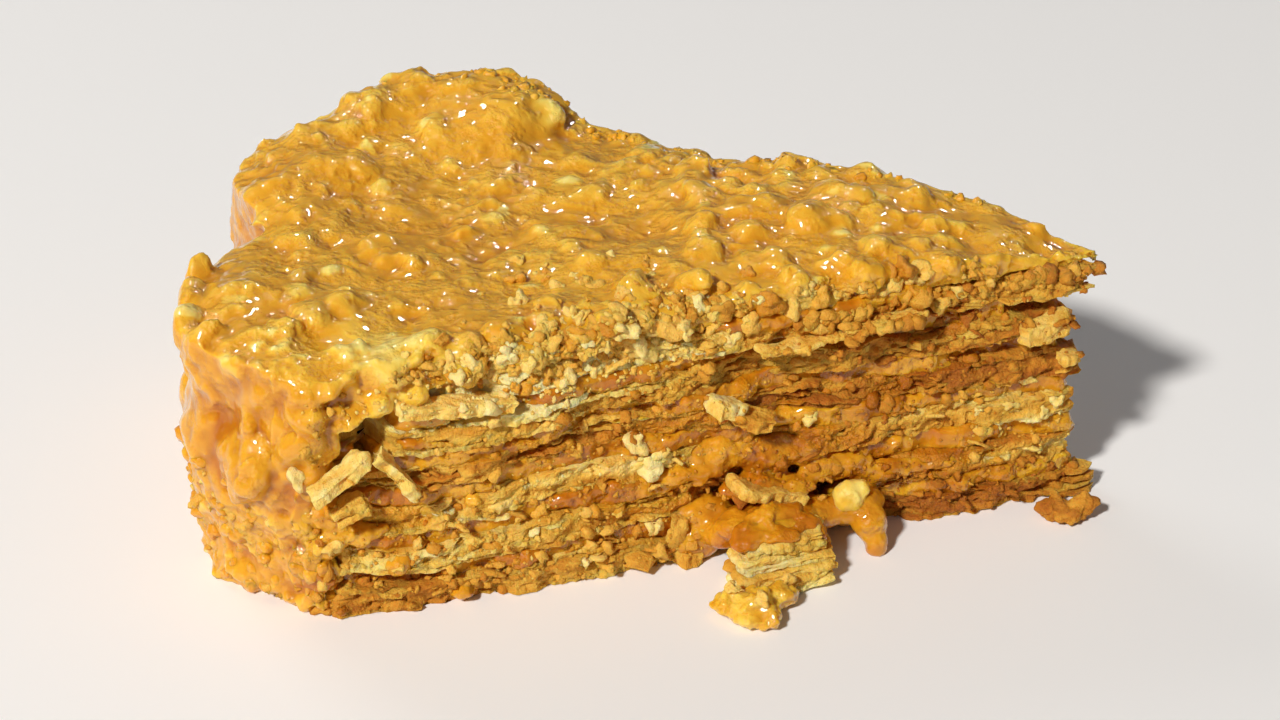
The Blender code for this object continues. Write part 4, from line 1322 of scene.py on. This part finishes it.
# %% Crumbs low on the rim
def rim_places(count, smallest, largest):
    """Places low on the rim, more of them towards the front corner, with a size for each."""
    found = []
    while len(found) < count:
        turn = luck.uniform(math.degrees(FRONT_CUT) - 1.0, 20.0)
        height = 21 * MM * luck.random() ** 0.9
        if luck.random() < (turn + 22.5) / 60:
            continue
        angle = math.radians(turn)
        way = ray(np.array(angle))
        place, normal = touch((*(APEX + way * 170 * MM), height + 0.3 * MM), (*-way, 0.0))
        if place is not None and np.hypot(*(place[:2] - APEX)) < rim_radius(angle) + 5.5 * MM:
            size = (smallest + (largest - smallest) * luck.random() ** 2.0) * MM
            found.append((place - normal * size * luck.uniform(0.1, 0.4), size))
    return np.array([place for place, size in found]), [size for place, size in found]


places, sizes = rim_places(COUNTS["glazed_rim_crumbs"], 2.0, 4.8)
tones = luck.normal(0.40, 0.12, len(places))
scatter("glazed_rim_crumbs", round_kinds, places, sizes, tones, 0.8, glaze_crumb)
places, sizes = rim_places(COUNTS["rim_crumbs"], 0.8, 2.4)
at_corner = smooth((places[:, 0] + 56 * MM) / (10 * MM))
tones = luck.normal(0.66, 0.08, len(places)) - 0.34 * at_corner * (1.0 - smooth(places[:, 2] / (8 * MM)))
soaking = luck.uniform(0.2, 0.8, len(places))
scatter("rim_crumbs", crumb_kinds, places, sizes, tones, soaking)

# %% [markdown]
# ## Floor, light and camera
#
# The slice stands on a white surface. One fairly hard lamp lights it from the front left, above the camera, and a
# large soft one from the back left. Reflections leave the soft one out, as it would make the glaze milky, and show
# three small lamps that light nothing else, which make the wet glints. The camera is a long lens that looks down at
# thirty degrees.

# %% Floor
bpy.ops.mesh.primitive_plane_add(size=6.0)
floor = bpy.context.object
floor.name = floor.data.name = "white_table"
table, shader, start, where = new_material("white_table", Roughness=0.7, Specular_IOR_Level=0.1)
shader.inputs["Base Color"].default_value = colour(249, 246, 243)
floor.data.materials.append(table)

# %% Lights
def lamp(name, place, size, power, tint, target=(0.0, 0.0, 0.02)):
    data = bpy.data.lights.new(name, "AREA")
    data.shape, data.size, data.energy, data.color = "DISK", size, power, tint
    made = new_object(name, data)
    made.location = place
    made.rotation_euler = (Vector(target) - Vector(place)).to_track_quat("-Z", "Y").to_euler()
    return made


KEY_AWAY, KEY_POWER, SOFT_POWER, GLINT_POWER, SKY_STRENGTH = 3.0, 91.0, 5.6, 3.0, 0.11
key_way = Vector((-0.34, -0.68, 0.66)).normalized()
lamp("key_lamp", key_way * KEY_AWAY, 0.30, KEY_POWER, (1.0, 0.99, 0.965))
soft_back = lamp("soft_back", (-1.15, 0.95, 0.85), 0.8, SOFT_POWER, (0.98, 0.99, 1.0), (-0.35, 0.35, 0.0))
soft_back.visible_glossy = False
GLINT_PLACES = ((-0.45, 0.85, 1.15), (0.35, 0.95, 0.95), (-0.95, 0.30, 0.95))
for number, place in enumerate(GLINT_PLACES, start=1):
    lamp(f"glint_lamp_{number}", place, 0.07, GLINT_POWER, (1.0, 1.0, 1.0)).visible_diffuse = False
world = bpy.data.worlds.new("pale_room")
world.use_nodes = True
background = world.node_tree.nodes["Background"].inputs
background["Color"].default_value = (0.95, 0.96, 1.0, 1.0)
background["Strength"].default_value = SKY_STRENGTH
bpy.context.scene.world = world
print(len(bpy.data.lights), "lamps")

# %% Camera
camera = bpy.data.cameras.new("photo_view")
camera.lens, camera.sensor_width = 74.925, 36.0
viewer = new_object("photo_view", camera)
viewer.location = (0.03062, -0.35975, 0.2280)
viewer.rotation_euler = (math.radians(60.0), 0.0, math.radians(5.0))
bpy.context.scene.camera = viewer
bpy.context.scene.view_settings.view_transform = "Standard"
print("the camera stands", round(viewer.location.length, 3), "m away")
